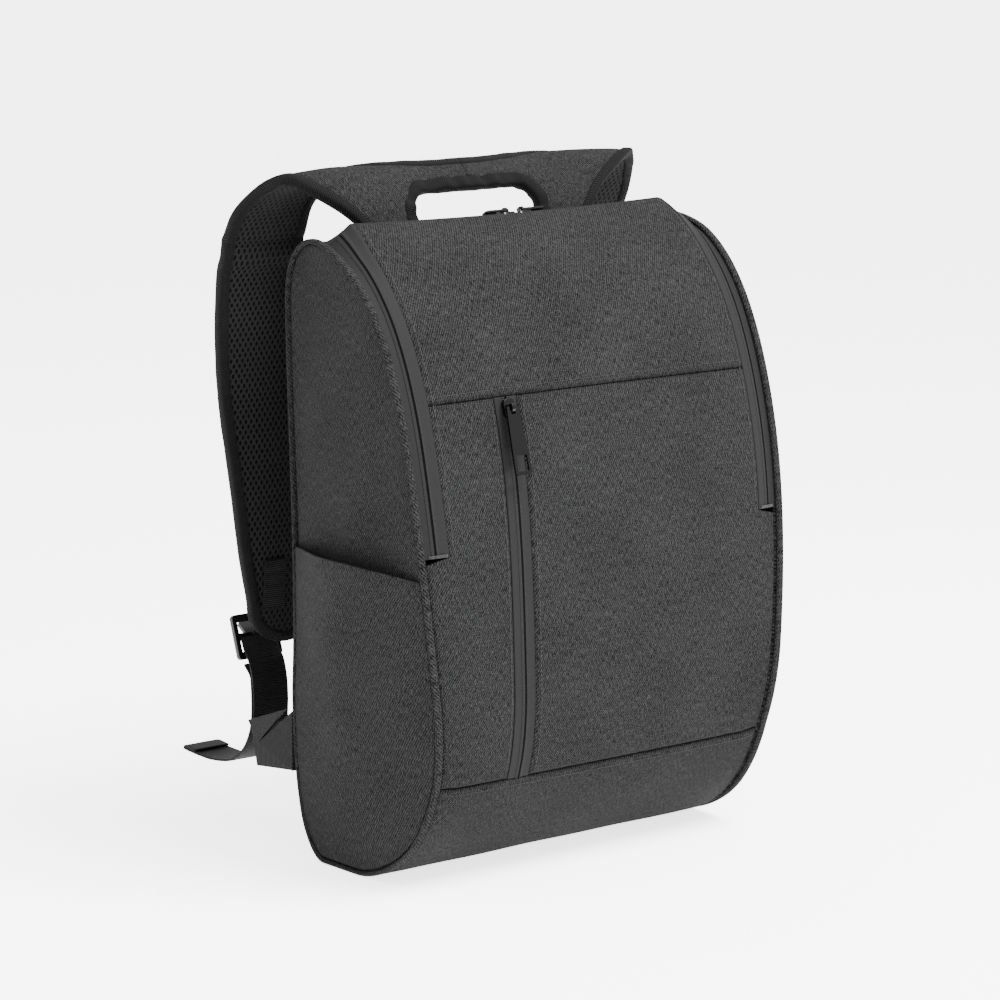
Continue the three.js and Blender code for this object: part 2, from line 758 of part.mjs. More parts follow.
// The sheets of one strap: rows through every corner of their edges
function strapSheet(depth, thickness) {
  const edge = strapInset(strapBinding + clearGap);
  const tip = edge.reduce((best, point, index) => (point[0] > edge[best][0] ? index : best), 0);
  const outer = edge.slice(0, tip + 1);
  const inner = edge.slice(tip).reverse();
  const handle = handleEdge(handleBinding + clearGap);
  const handleTop = handle[handle.length - 1][0];
  const neckStart = inner[0][0];
  const arcs = [0, ...handle.slice(1).map(([arc]) => arc), handleTop + seamGap];
  arcs.push(...[...outer, ...inner].map(([arc]) => arc).filter((arc) => arc > handleTop + clearGap));
  arcs.push(mix(edge[tip][0], edge[tip - 1][0], 0.1));
  arcs.sort((a, b) => a - b);
  const kept = arcs.filter((arc, index) => index === 0 || arc - arcs[index - 1] > clearGap / 2);
  const rows = kept.filter((arc) => arc < edge[tip][0] - clearGap / 4);
  const innerAt = (arc) => {
    if (arc <= handleTop) {
      return crossing(handle, arc);
    }
    return arc <= neckStart ? seamGap / 2 : crossing(inner, arc);
  };
  const columns = 3;
  const grid = (below) => rows.map((arc) => Array.from({ length: columns + 1 }, (_, column) =>
    strapPoint(arc, mix(innerAt(arc), crossing(outer, arc), column / columns), below)));
  return sheet(grid(depth), grid(depth + thickness));
}
addPair("shoulder_strap", strapSheet(0, strapFabric), shellCloth);
addPair("strap_mesh", strapSheet(strapFabric + seamGap, strapMesh), meshCloth);

// A padded edge along an edge line of the strap pattern, that line given for any inset
const strapThick = strapFabric + seamGap + strapMesh;
const edgeSection = [[-1, -0.5], [-1, 0.5], [-0.5, 1], [0.5, 1], [1, 0.5], [1, -0.5], [0.5, -1], [-0.5, -1]];
function paddedEdge(lineAt, width) {
  const corners = edgeSection.map(([across, up]) => lineAt((width + across * (width - clearGap)) / 2)
    .map(([arc, x]) => strapPoint(arc, x, strapThick / 2 - up * (strapThick / 2 + bindingPuff))));
  return tube(corners[0].map((_, index) => corners.map((line) => line[index])), false);
}
addPair("strap_binding", paddedEdge(strapInset, strapBinding), bindingCloth);

// The grab handle is the bar above a cut-out in the yoke, wrapped in the same ribbed binding
function handleLine(inset) {
  const side = handleEdge(inset);
  return [...side, [handleRise + inset, 0], ...side.map(([arc, x]) => [arc, -x]).reverse()];
}
add("handle_binding", paddedEdge(handleLine, handleBinding), bindingCloth);

// A flat strip of webbing along a path in depth and height, its middle moving sideways with it
function webStrip(path, width, thickness) {
  const at = (index) => path[Math.min(path.length - 1, Math.max(0, index))];
  const grid = (face) => path.map(({ y, z, x }, index) => {
    const [before, after] = [at(index - 1), at(index + 1)];
    const along = new THREE.Vector2(after.y - before.y, after.z - before.z).normalize();
    return [-1, 1].map((side) => new THREE.Vector3(
      -x + (side * width) / 2,
      y - along.y * face,
      z + along.x * face,
    ));
  });
  return sheet(grid(thickness / 2), grid(-thickness / 2));
}

// Webbing sewn flat along a strap, at a height range and a depth below its outer face
const strapArcAt = (z) => {
  const past = strapRows.filter((row) => row.arc > neckDepth);
  return past.find((row) => row.z <= z).arc;
};
function alongStrap(fromHeight, toHeight, count, depth, x) {
  const [from, to] = [strapArcAt(fromHeight), strapArcAt(toHeight)];
  return [...spread(from, to, count), to].map((arc) => {
    const row = strapRow(arc);
    return { y: row.y - row.ny * depth, z: row.z - row.nz * depth, x };
  });
}
const strapFoot = seatHeight - strapDrop;
const sewnDepth = seamGap + webThick / 2;
addPair("strap_patch", webStrip(
  alongStrap(strapFoot + patchTop, strapFoot + patchFoot, 3, strapThick + sewnDepth, lockPlace),
  patchWidth,
  webThick,
), webbing);
addPair("lock_loop", webStrip(
  alongStrap(strapFoot + loopTop, strapFoot + loopFoot, 4, -bindingPuff - sewnDepth, lockPlace),
  patchWidth,
  webThick,
), webbing);

// Ladder lock: a flat frame with two slots and a thumb tab, leaning back below the strap's end
function solid(geometry) {
  const merged = indexed(geometry);
  return new wasm.Manifold(new wasm.Mesh({
    numProp: 3,
    vertProperties: new Float32Array(merged.getAttribute("position").array),
    triVerts: new Uint32Array(merged.index.array),
  }));
}

function geometryOf(manifold) {
  const mesh = manifold.getMesh();
  const geometry = new THREE.BufferGeometry();
  geometry.setAttribute("position", new THREE.BufferAttribute(mesh.vertProperties, 3));
  geometry.setIndex([...mesh.triVerts]);
  geometry.computeVertexNormals();
  return geometry;
}

function indexed(geometry) {
  geometry.deleteAttribute("normal");
  geometry.deleteAttribute("uv");
  const merged = mergeVertices(geometry, 1e-4);
  merged.computeVertexNormals();
  return merged;
}

function roundedRect(width, length, radius) {
  const shape = new THREE.Shape();
  const [x, y] = [width / 2, length / 2];
  shape.moveTo(-x + radius, -y);
  shape.lineTo(x - radius, -y).absarc(x - radius, -y + radius, radius, -Math.PI / 2, 0);
  shape.lineTo(x, y - radius).absarc(x - radius, y - radius, radius, 0, Math.PI / 2);
  shape.lineTo(-x + radius, y).absarc(-x + radius, y - radius, radius, Math.PI / 2, Math.PI);
  shape.lineTo(-x, -y + radius).absarc(-x + radius, -y + radius, radius, Math.PI, 1.5 * Math.PI);
  return shape;
}

const lockLength = 3 * lockBar + 2 * lockSlot;
const lockBack = strapBack + lockSetback;
const lockHeight = strapFoot + lockRise;
const lockLean = THREE.MathUtils.degToRad(lockTilt);
const round = { curveSegments: 3, bevelEnabled: false };
function ladderLock() {
  const frame = roundedRect(lockWidth, lockLength, lockCorner);
  for (const side of [-1, 1]) {
    const middle = (side * (lockBar + lockSlot)) / 2;
    const slot = new THREE.Path();
    const [x, y] = [webWidth / 2 + seamGap, lockSlot / 2];
    slot.moveTo(-x, middle - y).lineTo(x, middle - y).lineTo(x, middle + y).lineTo(-x, middle + y);
    frame.holes.push(slot);
  }
  const plate = new THREE.ExtrudeGeometry(frame, { ...round, depth: lockThick });
  plate.translate(0, 0, -lockThick / 2);
  const tab = new THREE.ExtrudeGeometry(roundedRect(thumbWidth, thumbLength, lockCorner), {
    ...round,
    depth: thumbThick,
  });
  tab.translate(0, thumbLength / 2, -thumbThick / 2);
  tab.rotateX(THREE.MathUtils.degToRad(90 - thumbLift));
  const whole = geometryOf(solid(plate).add(solid(tab)));
  whole.rotateX(Math.PI / 2 + lockLean);
  whole.rotateZ(Math.PI);
  whole.translate(-lockPlace, backOffset + lockBack, lockHeight);
  return whole;
}
addPair("ladder_lock", ladderLock(), buckle);

// The webbing runs from the lock down to the folded root, and its free end turns out behind it
const tabInside = bodyWidth / 2 + 2 * seamGap;
const rootInside = tabInside - webThick - seamGap;
const webPlace = rootInside - seamGap - webWidth / 2;
const webTop = { back: lockBack - lockThick / 2 - webThick / 2 - clearGap, z: lockHeight };
const webFoot = foldFoot + webSeat;
const webDrop = [
  { down: 0, forward: 0, out: 0 },
  { down: 0.11, forward: 0.18, out: 0.1 },
  { down: 0.23, forward: 0.5, out: 0.25 },
  { down: 0.39, forward: 0.75, out: 0.5 },
  { down: 0.57, forward: 0.91, out: 0.75 },
  { down: 0.77, forward: 0.98, out: 0.95 },
  { down: 1, forward: 1, out: 1 },
];
const place = (back, z, x) => ({ y: backOffset + back, z, x });
addPair("webbing", webStrip(webDrop.map(({ down, forward, out }) => place(
  webTop.back - forward * webSlant,
  mix(webTop.z, webFoot, down),
  mix(lockPlace, webPlace, out),
)), webWidth, webThick), webbing);

// down and back as shares of the tail's drop and of its reach behind the webbing's foot
const tailPath = [
  { back: 0.224, down: 0, out: 0.25 },
  { back: 0.137, down: 0.08, out: 0.3 },
  { back: 0.085, down: 0.16, out: 0.5 },
  { back: 0.036, down: 0.32, out: 0.75 },
  { back: 0.013, down: 0.5, out: 0.95 },
  { back: 0.05, down: 0.66, out: 1 },
  { back: 0.15, down: 0.82, out: 1 },
  { back: 0.33, down: 0.95, out: 1 },
  { back: 0.59, down: 1, out: 1 },
  { back: 0.81, down: 0.985, out: 1 },
  { back: 0.98, down: 0.945, out: 1 },
  { back: 1, down: 0.92, out: 1 },
  { back: 0.98, down: 0.895, out: 1 },
  { back: 0.84, down: 0.925, out: 1 },
];
const tailTop = webTop.z - tailStart;
addPair("webbing_tail", webStrip(tailPath.map(({ back, down, out }) => place(
  webTop.back - webSlant + webThick + seamGap + back * tailReach,
  mix(tailTop, tailLow, down),
  mix(lockPlace, webPlace, out),
)), webWidth, webThick), webbing);

// A flat plate in the plane of the side, given by corners in depth and height
function sidePlate(corners, inside, thickness) {
  const shape = new THREE.Shape(corners.map(([back, z]) => new THREE.Vector2(backOffset + back, z)));
  const geometry = new THREE.ExtrudeGeometry(shape, { depth: thickness, bevelEnabled: false });
  geometry.rotateX(Math.PI / 2).rotateZ(Math.PI / 2);
  geometry.translate(-inside - thickness, 0, 0);
  return indexed(geometry);
}

const seamAt = (z) => outlineAt(backArc(z)).y - backOffset;
const tabStart = seamAt(tabTop) + (pipingRadius + seamGap) * Math.SQRT1_2 + pipingRadius + seamGap;
addPair("anchor_tab", sidePlate([
  [tabStart, tabFoot], [tabReach, tabApex], [tabStart, tabTop],
], tabInside, tabThick), shellCloth);
addPair("webbing_fold", sidePlate([
  [tabReach + seamGap, tabApex], [foldReach, foldTop], [tabStart + foldStep, tabTop],
], tabInside, tabThick), webbing);
addPair("webbing_root", sidePlate([
  [tabStart, tabFoot], [foldReach - foldStep, foldFoot], [foldReach, foldTop], [tabStart, tabTop - foldStep],
], rootInside, webThick), webbing);

const loopSeat = seamAt(edgeLoopFoot);
addPair("edge_loop", sidePlate([
  [loopSeat + edgeLoopStart, edgeLoopFoot],
  [loopSeat + edgeLoopReach, edgeLoopFoot],
  [loopSeat + edgeLoopReach, edgeLoopFoot + edgeLoopLength - edgeLoopReach / 2],
  [loopSeat + edgeLoopReach / 2, edgeLoopFoot + edgeLoopLength],
  [loopSeat + edgeLoopStart, edgeLoopFoot + edgeLoopLength],
], bodyWidth / 2 - edgeLoopThick - clearGap, edgeLoopThick), webbing);

// Zip sliders and pulls, made lying along +Y with +Z away from the tape
const bridgeReach = bridgeBore / 2 + bridgeWall;
const axisHeight = seamGap + sliderThick + bridgeFoot + bridgeBore / 2;
function slider() {
  const plate = new THREE.ExtrudeGeometry(roundedRect(sliderWidth, sliderLength, sliderWidth / 3), {
    ...round,
    depth: sliderThick,
  });
  plate.translate(0, 0, seamGap);
  const side = new THREE.Shape();
  const sunk = sliderThick / 2;
  side.moveTo(-bridgeReach, seamGap + sunk).lineTo(bridgeReach, seamGap + sunk);
  side.lineTo(bridgeReach, axisHeight + bridgeBore / 2);
  side.lineTo(bridgeBore / 2, axisHeight + bridgeReach).lineTo(-bridgeBore / 2, axisHeight + bridgeReach);
  side.lineTo(-bridgeReach, axisHeight + bridgeBore / 2);
  const bore = new THREE.Path();
  const half = bridgeBore / 2;
  bore.moveTo(-half, axisHeight - half).lineTo(half, axisHeight - half);
  bore.lineTo(half, axisHeight + half).lineTo(-half, axisHeight + half);
  side.holes.push(bore);
  const bridge = new THREE.ExtrudeGeometry(side, { depth: bridgeWidth, bevelEnabled: false });
  bridge.translate(0, 0, -bridgeWidth / 2).rotateX(Math.PI / 2).rotateZ(Math.PI / 2);
  return geometryOf(solid(plate).add(solid(bridge)));
}

// A pull turns about the bar at its top, which passes through the slider's bridge
function pull(length, width, waist, endWindow = 0) {
  const bar = pullThick / 2;
  const tip = pullTip;
  const shape = new THREE.Shape();
  shape.moveTo(-waist / 2, -bar).lineTo(waist / 2, -bar).lineTo(width / 2, length - tip);
  shape.lineTo(width / 2 - tip, length).lineTo(tip - width / 2, length).lineTo(-width / 2, length - tip);
  const window = new THREE.Path();
  const [x, end] = [bridgeWidth / 2 + pullClear, Math.hypot(bridgeReach, bridgeReach) + pullClear];
  window.moveTo(-x, bar).lineTo(x, bar).lineTo(x, end).lineTo(-x, end);
  shape.holes.push(window);
  if (endWindow > 0) {
    const [side, low, high] = [width / 2 - pullRim, length - pullRim - endWindow, length - pullRim];
    const opening = new THREE.Path();
    opening.moveTo(-side, low).lineTo(side, low).lineTo(side, high).lineTo(-side, high);
    shape.holes.push(opening);
  }
  const geometry = new THREE.ExtrudeGeometry(shape, { depth: pullThick, bevelEnabled: false });
  geometry.translate(0, 0, -pullThick / 2);
  return indexed(geometry);
}

// Set a slider and its pull on the band, the pull pointing along the given direction
function zipSlider(name, station, x, sink, along, pullGeometry) {
  const near = clearGap;
  const at = (arc, across) => bandPoint(outlineAt(station + arc), x + across, sink);
  const up = at(near, 0).sub(at(-near, 0));
  const across = at(0, near).sub(at(0, -near));
  const outward = across.cross(up).normalize();
  const direction = along.clone().projectOnPlane(outward).normalize();
  const aside = direction.clone().cross(outward);
  const basis = new THREE.Matrix4().makeBasis(aside, direction, outward);
  const body = add(`${name}_slider`, slider(), blackMetal);
  const arm = add(`${name}_pull`, pullGeometry, blackMetal);
  body.position.copy(at(0, 0));
  arm.position.copy(body.position).addScaledVector(outward, axisHeight);
  for (const mesh of [body, arm]) {
    mesh.quaternion.setFromRotationMatrix(basis);
  }
}
zipSlider(
  "front",
  flapSeamArc - frontSliderDrop,
  pocketZipPlace,
  pocketZipSink,
  new THREE.Vector3(0, 0, -1),
  pull(frontPullLength, frontPullWidth, frontPullWaist, frontPullWindow),
);
for (const [side, name] of [[-1, "main_left"], [1, "main_right"]]) {
  zipSlider(
    name,
    mix(ridgeArc, topTapeArc, mainSliderShare),
    mainSliderMeet + side * (sliderLength + mainSliderGap) / 2,
    0,
    new THREE.Vector3(side, 0, 0),
    pull(mainPullLength, mainPullWidth, mainPullWaist),
  );
}

export default pack;
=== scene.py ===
# A laptop backpack in heathered grey twill, dressed round its construction frame.
# Metres, +Z up, +X to the right seen from the front, -Y to the front.
# Every section makes one piece, or a group of like pieces, in the order of sewing.
import math

import bmesh
import bpy
import numpy as np
from mathutils import Matrix, Vector
from mathutils.geometry import interpolate_bezier


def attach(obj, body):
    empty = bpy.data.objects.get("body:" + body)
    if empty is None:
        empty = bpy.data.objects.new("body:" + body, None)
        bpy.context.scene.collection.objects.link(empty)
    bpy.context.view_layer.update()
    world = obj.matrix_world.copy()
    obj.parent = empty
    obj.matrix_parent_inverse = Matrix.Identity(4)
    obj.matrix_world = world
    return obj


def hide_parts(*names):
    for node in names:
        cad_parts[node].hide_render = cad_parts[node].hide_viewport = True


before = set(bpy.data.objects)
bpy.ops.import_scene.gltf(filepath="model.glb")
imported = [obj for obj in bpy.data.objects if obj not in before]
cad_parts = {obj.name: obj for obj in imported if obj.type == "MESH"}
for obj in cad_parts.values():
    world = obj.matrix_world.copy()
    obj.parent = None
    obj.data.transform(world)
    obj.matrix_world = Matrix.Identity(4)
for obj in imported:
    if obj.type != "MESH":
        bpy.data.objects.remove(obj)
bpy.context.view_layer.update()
MM = 0.001

# Camera
# A long lens at the height of a table, well to the left of the pack's front, as in a catalogue.
CAMERA_TARGET = Vector((-26.5, -20.0, 248.8)) * MM
CAMERA_AZIMUTH = math.radians(-39.0)
CAMERA_ELEVATION = math.radians(10.3)
CAMERA_DISTANCE = 2782 * MM
camera_data = bpy.data.cameras.new("camera")
camera_data.lens = 144
camera_data.sensor_width = 36
camera_data.clip_end = 100
camera = bpy.data.objects.new("camera", camera_data)
bpy.context.scene.collection.objects.link(camera)
camera_back = Vector((
    math.sin(CAMERA_AZIMUTH) * math.cos(CAMERA_ELEVATION),
    -math.cos(CAMERA_AZIMUTH) * math.cos(CAMERA_ELEVATION),
    math.sin(CAMERA_ELEVATION),
))
camera.location = CAMERA_TARGET + camera_back * CAMERA_DISTANCE
camera.rotation_euler = camera_back.to_track_quat("Z", "Y").to_euler()
bpy.context.scene.camera = camera


# Finishes
# One small class writes a material's nodes as sums and products of what they give out.
class Wire:
    """What one node gives out. Arithmetic on it adds Math nodes."""

    def __init__(self, finish, socket):
        self.finish, self.socket = finish, socket

    def math(self, operation, *others):
        values = dict(enumerate((self, *others)))
        return self.finish.node("ShaderNodeMath", {"operation": operation}, values)

    def __add__(self, other):
        return self.math("ADD", other)

    def __sub__(self, other):
        return self.math("SUBTRACT", other)

    def __rsub__(self, other):
        return self.math("MULTIPLY_ADD", -1.0, other)

    def __mul__(self, other):
        return self.math("MULTIPLY", other)

    __radd__ = __add__
    __rmul__ = __mul__

    def wave(self, period):
        """From 0 to 1 and back once in each period."""
        return (self * (2 * math.pi / period)).math("SINE") * 0.5 + 0.5

    def between(self, low, high):
        """Rises from 0 at low to 1 at high."""
        settings = {"interpolation_type": "SMOOTHSTEP"}
        return self.finish.node("ShaderNodeMapRange", settings, {0: self, 1: low, 2: high})


class Finish:
    """A material for one of the pack's cloths or fittings."""

    def __init__(self, name, **surface):
        self.material = bpy.data.materials.new(name)
        self.material.use_nodes = True
        self.tree = self.material.node_tree
        self.surface = self.tree.nodes["Principled BSDF"]
        for socket, value in surface.items():
            self.feed(self.surface.inputs[socket.replace("_", " ").title().replace("Ior", "IOR")], value)

    def feed(self, socket, value):
        if isinstance(value, Wire):
            self.tree.links.new(value.socket, socket)
        else:
            socket.default_value = value

    def node(self, kind, settings, values, output=0):
        made = self.tree.nodes.new(kind)
        for setting, value in settings.items():
            setattr(made, setting, value)
        for key, value in values.items():
            self.feed(made.inputs[key], value)
        return Wire(self, made.outputs[output])

    def cut(self):
        """Across and along the cut piece of cloth, in metres."""
        made = self.node("ShaderNodeUVMap", {"uv_map": "Cut"}, {})
        return [self.node("ShaderNodeSeparateXYZ", {}, {0: made}, axis) for axis in (0, 1)]

    def place(self):
        """Right, back and up, in metres."""
        made = self.node("ShaderNodeTexCoord", {}, {}, 3)
        return [self.node("ShaderNodeSeparateXYZ", {}, {0: made}, axis) for axis in (0, 1, 2)]

    def point(self, across, along):
        return self.node("ShaderNodeCombineXYZ", {}, {0: across, 1: along})

    def noise(self, place, scale, detail=2.0, roughness=0.5):
        values = {"Vector": place, "Scale": scale, "Detail": detail, "Roughness": roughness}
        return self.node("ShaderNodeTexNoise", {}, values)

    def shade(self, share, dark, light):
        values = {0: share, 6: (*dark, 1), 7: (*light, 1)}
        return self.node("ShaderNodeMix", {"data_type": "RGBA"}, values, 2)

    def relief(self, height, distance, strength=1.0):
        values = {"Height": height, "Distance": distance, "Strength": strength}
        self.feed(self.surface.inputs["Normal"], self.node("ShaderNodeBump", {}, values))

    def colour(self, value):
        self.feed(self.surface.inputs["Base Color"], value)


def grey(level, blue=1.0):
    return (level, level, level * blue)


# Shell cloth
# A polyester twill woven from dark and pale grey yarns: fine diagonal ribs, broken by streaks
# where a paler yarn comes up. The right-hand cuts lean the other way from the left-hand ones.
TWILL_PITCH = 1.6 * MM
YARN = 0.55 * MM
CLOTH_DARK = grey(0.0008, 1.04)
CLOTH_LIGHT = grey(0.0225, 1.02)


def twill(name, lean, dark=CLOTH_DARK, light=CLOTH_LIGHT):
    finish = Finish(name, roughness=0.9, specular_ior_level=0.04)
    across, along = finish.cut()
    warp = finish.noise(finish.point(across, along), 260.0)
    rib = (across * (0.83 * lean) + along * -0.56 + warp * (0.35 * TWILL_PITCH)).wave(TWILL_PITCH)
    streak = finish.noise(finish.point(across * (1 / YARN), along * (0.12 / YARN)), 1.0, 3.0, 0.7)
    weft = finish.noise(finish.point(across * (0.15 / YARN), along * (1 / YARN)), 1.0, 2.0, 0.6)
    speck = finish.noise(finish.point(across, along), 0.55 / YARN, 1.0)
    broad = finish.noise(finish.point(across, along), 18.0)
    tone = streak * 1.9 + weft * 0.6 + speck * 0.9 + rib * 0.32 + broad * 0.2 - 1.48
    finish.colour(finish.shade(tone.between(0.1, 1.02), dark, light))
    finish.relief(rib + speck * 0.6, 0.28 * MM, 0.8)
    return finish.material


cloth_front = twill("twill_front", 1)
cloth_side = twill("twill_side", -1)


# Cutting and sewing
# A piece of cloth starts as a flat grid, with its rows and columns closer beside the seams,
# keeps its flat place as its UV map, and is bent into shape by the function it is given.
def stations(length, step, seam=(0.0, 0.7, 1.4, 2.2, 3.2, 4.6)):
    near = np.array(seam) * MM
    middle = np.linspace(near[-1], length - near[-1], max(2, round((length - 2 * near[-1]) / step)) + 1)
    return np.concatenate([near[:-1], middle, (length - near[:-1])[::-1]])


def sewn(name, columns, rows, place, material, weld=False):
    """place(column, row, depth) gives points and their flat place across and along."""
    bm = bmesh.new()
    bm.loops.layers.uv.new("Cut")
    bmesh.ops.create_grid(bm, x_segments=len(columns) - 1, y_segments=len(rows) - 1, size=0.5)
    mesh = bpy.data.meshes.new(name)
    bm.to_mesh(mesh)
    bm.free()
    flat = np.empty(len(mesh.vertices) * 3)
    mesh.vertices.foreach_get("co", flat)
    share = flat.reshape(-1, 3) + 0.5
    column = np.asarray(columns)[np.rint(share[:, 0] * (len(columns) - 1)).astype(int)]
    row = np.asarray(rows)[np.rint(share[:, 1] * (len(rows) - 1)).astype(int)]
    points, across, along = place(column, row, 0.0)
    inside = place(column, row, MM)[0]
    mesh.vertices.foreach_set("co", points.ravel())
    corners = np.empty(len(mesh.loops), dtype=np.int32)
    mesh.loops.foreach_get("vertex_index", corners)
    mesh.uv_layers["Cut"].data.foreach_set("uv", np.stack([across, along], axis=1)[corners].ravel())
    mesh.update()
    normals = np.empty(len(mesh.vertices) * 3)
    mesh.vertex_normals.foreach_get("vector", normals)
    if np.sum(normals.reshape(-1, 3) * (inside - points)) > 0:
        mesh.flip_normals()
    if weld:
        bm = bmesh.new()
        bm.from_mesh(mesh)
        bmesh.ops.remove_doubles(bm, verts=bm.verts, dist=0.02 * MM)
        bmesh.ops.holes_fill(bm, edges=bm.edges, sides=0)
        bmesh.ops.recalc_face_normals(bm, faces=bm.faces)
        bm.to_mesh(mesh)
        bm.free()
    mesh.shade_smooth()
    mesh.materials.append(material)
    piece = bpy.data.objects.new(name, mesh)
    bpy.context.scene.collection.objects.link(piece)
    return piece


def thicken(piece, wall):
    solidify = piece.modifiers.new("wall", "SOLIDIFY")
    solidify.thickness = wall
    solidify.offset = -1


def fit(piece, slot, *nodes, body="pack"):
    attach(piece, body)
    if nodes:
        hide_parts(*nodes)


def smooth(share):
    share = np.clip(share, 0, 1)
    return share * share * (3 - 2 * share)


def ripple(across, along, length, turn=0.0):
    """Soft uneven waves of about the given length, between -1 and 1."""
    total = 0
    for index in range(6):
        angle = 2.4 * index + turn
        reach = length * (0.75 + 0.13 * index)
        path = across * math.cos(angle) + along * math.sin(angle)
        total = total + np.sin(2 * math.pi * path / reach + 1.7 * index * index + turn)
    return total / 3.6


# Side outline
# The pack's side is cut to one outline: flat under the base, swelling at the front, rounded at
# the top, full low down the back. All that is sewn to it is placed by the distance round it.
BACK = 60 * MM
BODY_DEPTH = 170 * MM
SIDE_HEIGHT = 434 * MM
BASE_BACK, BASE_FRONT = 39 * MM, 75 * MM
BASE_STEPS = 50 * MM, 65 * MM
FRONT_CORNER, BACK_CORNER, TOP_CORNER = 135 * MM, 120 * MM, 42 * MM
TOP_SETBACK = 40 * MM
BACK_LEAN, BACK_BELLY, BACK_TUCK = 1 * MM, 12 * MM, 5 * MM
HALF_WIDTH = 148 * MM
FRONT_FLARE = 14 * MM
FLARE_DEPTH = 85 * MM
FLARE_FROM, FLARE_TO = 80 * MM, 300 * MM
TURN = 0.4
PAST_BASE = 60 * MM


def share_up(low, share):
    return low + (SIDE_HEIGHT - low) * share


outline_curves = (
    ((BASE_BACK, 0), (BASE_STEPS[0], 0), (BASE_STEPS[1], 0), (BASE_FRONT, 0)),
    ((BASE_FRONT, 0), (BASE_FRONT + (BODY_DEPTH - BASE_FRONT) * 0.44, 0),
     (BODY_DEPTH, FRONT_CORNER * 0.34), (BODY_DEPTH, FRONT_CORNER)),
    ((BODY_DEPTH, FRONT_CORNER), (BODY_DEPTH * 0.97, share_up(FRONT_CORNER, 0.46)),
     (BODY_DEPTH * 0.83, SIDE_HEIGHT), (TOP_SETBACK, SIDE_HEIGHT)),
    ((TOP_SETBACK, SIDE_HEIGHT), (TOP_SETBACK * 0.3, SIDE_HEIGHT),
     (BACK_LEAN, SIDE_HEIGHT - TOP_CORNER * TURN), (BACK_LEAN, SIDE_HEIGHT - TOP_CORNER)),
    ((BACK_LEAN, SIDE_HEIGHT - TOP_CORNER), (BACK_LEAN, share_up(BACK_CORNER, 0.6)),
     (BACK_BELLY, share_up(BACK_CORNER, 0.3)), (BACK_TUCK, BACK_CORNER)),
    ((BACK_TUCK, BACK_CORNER), (BACK_TUCK, BACK_CORNER * 0.45), (BASE_BACK * 0.4, 0), (BASE_BACK, 0)),
)
outline_points = []
for curve in outline_curves:
    start, leave, arrive, end = (Vector((depth, height, 0)) for depth, height in curve)
    outline_points += interpolate_bezier(start, leave, arrive, end, 60)[:-1]
outline_y = np.array([BACK - point.x for point in outline_points])
outline_z = np.array([point.y for point in outline_points])
step_y = np.roll(outline_y, -1) - outline_y
step_z = np.roll(outline_z, -1) - outline_z
step_length = np.hypot(step_y, step_z)
outline_arc = np.concatenate([[0], np.cumsum(step_length)[:-1]])
AROUND = float(np.sum(step_length))
slope_y = (step_y + np.roll(step_y, 1)) / (step_length + np.roll(step_length, 1))
slope_z = (step_z + np.roll(step_z, 1)) / (step_length + np.roll(step_length, 1))


def outline_at(arc):
    """Depth and height at a distance round the outline, and which way is out."""
    where = np.mod(arc, AROUND)
    return [np.interp(where, outline_arc, values, period=AROUND)
            for values in (outline_y, outline_z, -slope_z, slope_y)]


def front_arc(height):
    rising = np.nonzero((outline_arc > PAST_BASE) & (outline_z >= height))[0][0]
    return float(outline_arc[rising])


def back_arc(height):
    falling = np.nonzero((outline_y > BACK - BASE_BACK) & (outline_z >= height))[0][-1]
    return float(outline_arc[falling])


def half_width(y, z):
    forward = smooth((BACK - y) / FLARE_DEPTH)
    upward = np.sin(math.pi / 2 * np.clip((z - FLARE_FROM) / (FLARE_TO - FLARE_FROM), 0, 1))
    return HALF_WIDTH + FRONT_FLARE * forward * upward


# The band round the pack
# Base, front, flap, top and back are one band between the two sides. Its front stands off the
# sides by a ramp, where the zip tape lies, and by a crown in the middle.
SIDE_WALL = 3 * MM
TAPE_WIDTH = 17 * MM
RIDGE_RISE = 16 * MM
RIDGE_SETBACK = 57 * MM
TOP_TAPE = 14 * MM
CROWN = 13 * MM
LOWER_SEAM = front_arc(75 * MM)
ZIP_END = front_arc(228 * MM)
FLAP_SEAM = front_arc(333 * MM)
upper_front = (outline_arc > FLAP_SEAM) & (outline_y >= BACK - RIDGE_SETBACK)
RIDGE = float(outline_arc[np.nonzero(upper_front)[0][0]])
TOP_SEAM = RIDGE + TOP_TAPE
GUSSET_SEAM = back_arc(421 * MM)
BACK_SEAM = back_arc(24 * MM)
# height as a share of the side, ramp of the ridge's rise, crown of the full crown
band_sections = (
    (0.0, 0.0, 0.0),
    (0.17, 0.19, 0.06),
    (0.3, 0.14, 0.0),
    (0.41, 0.19, 0.02),
    (0.53, 0.25, 0.1),
    (0.69, 0.26, 0.35),
    (0.83, 0.25, 0.5),
    (0.94, 0.28, 0.5),
    (0.975, 0.5, 0.35),
)
section_arc = [front_arc(height * SIDE_HEIGHT) for height, _, _ in band_sections]
section_arc += [RIDGE, TOP_SEAM, AROUND]
section_ramp = [ramp * RIDGE_RISE for _, ramp, _ in band_sections] + [RIDGE_RISE, 0, 0]
section_crown = [crown * CROWN for _, _, crown in band_sections] + [-0.2 * CROWN, 0, 0]
band_arc = np.arange(0, AROUND, MM)


def eased(values):
    """Straight runs between the sections, eased over 40 mm, and over 4 mm at the ridge."""
    straight = np.interp(band_arc, section_arc, values)
    wide = np.convolve(np.pad(straight, 20, mode="edge"), np.ones(41) / 41, mode="valid")
    narrow = np.convolve(np.pad(straight, 2, mode="edge"), np.ones(5) / 5, mode="valid")
    share = smooth((band_arc - (RIDGE - 45 * MM)) / (20 * MM))
    return wide * (1 - share) + narrow * share


band_ramp, band_crown = eased(section_ramp), eased(section_crown)


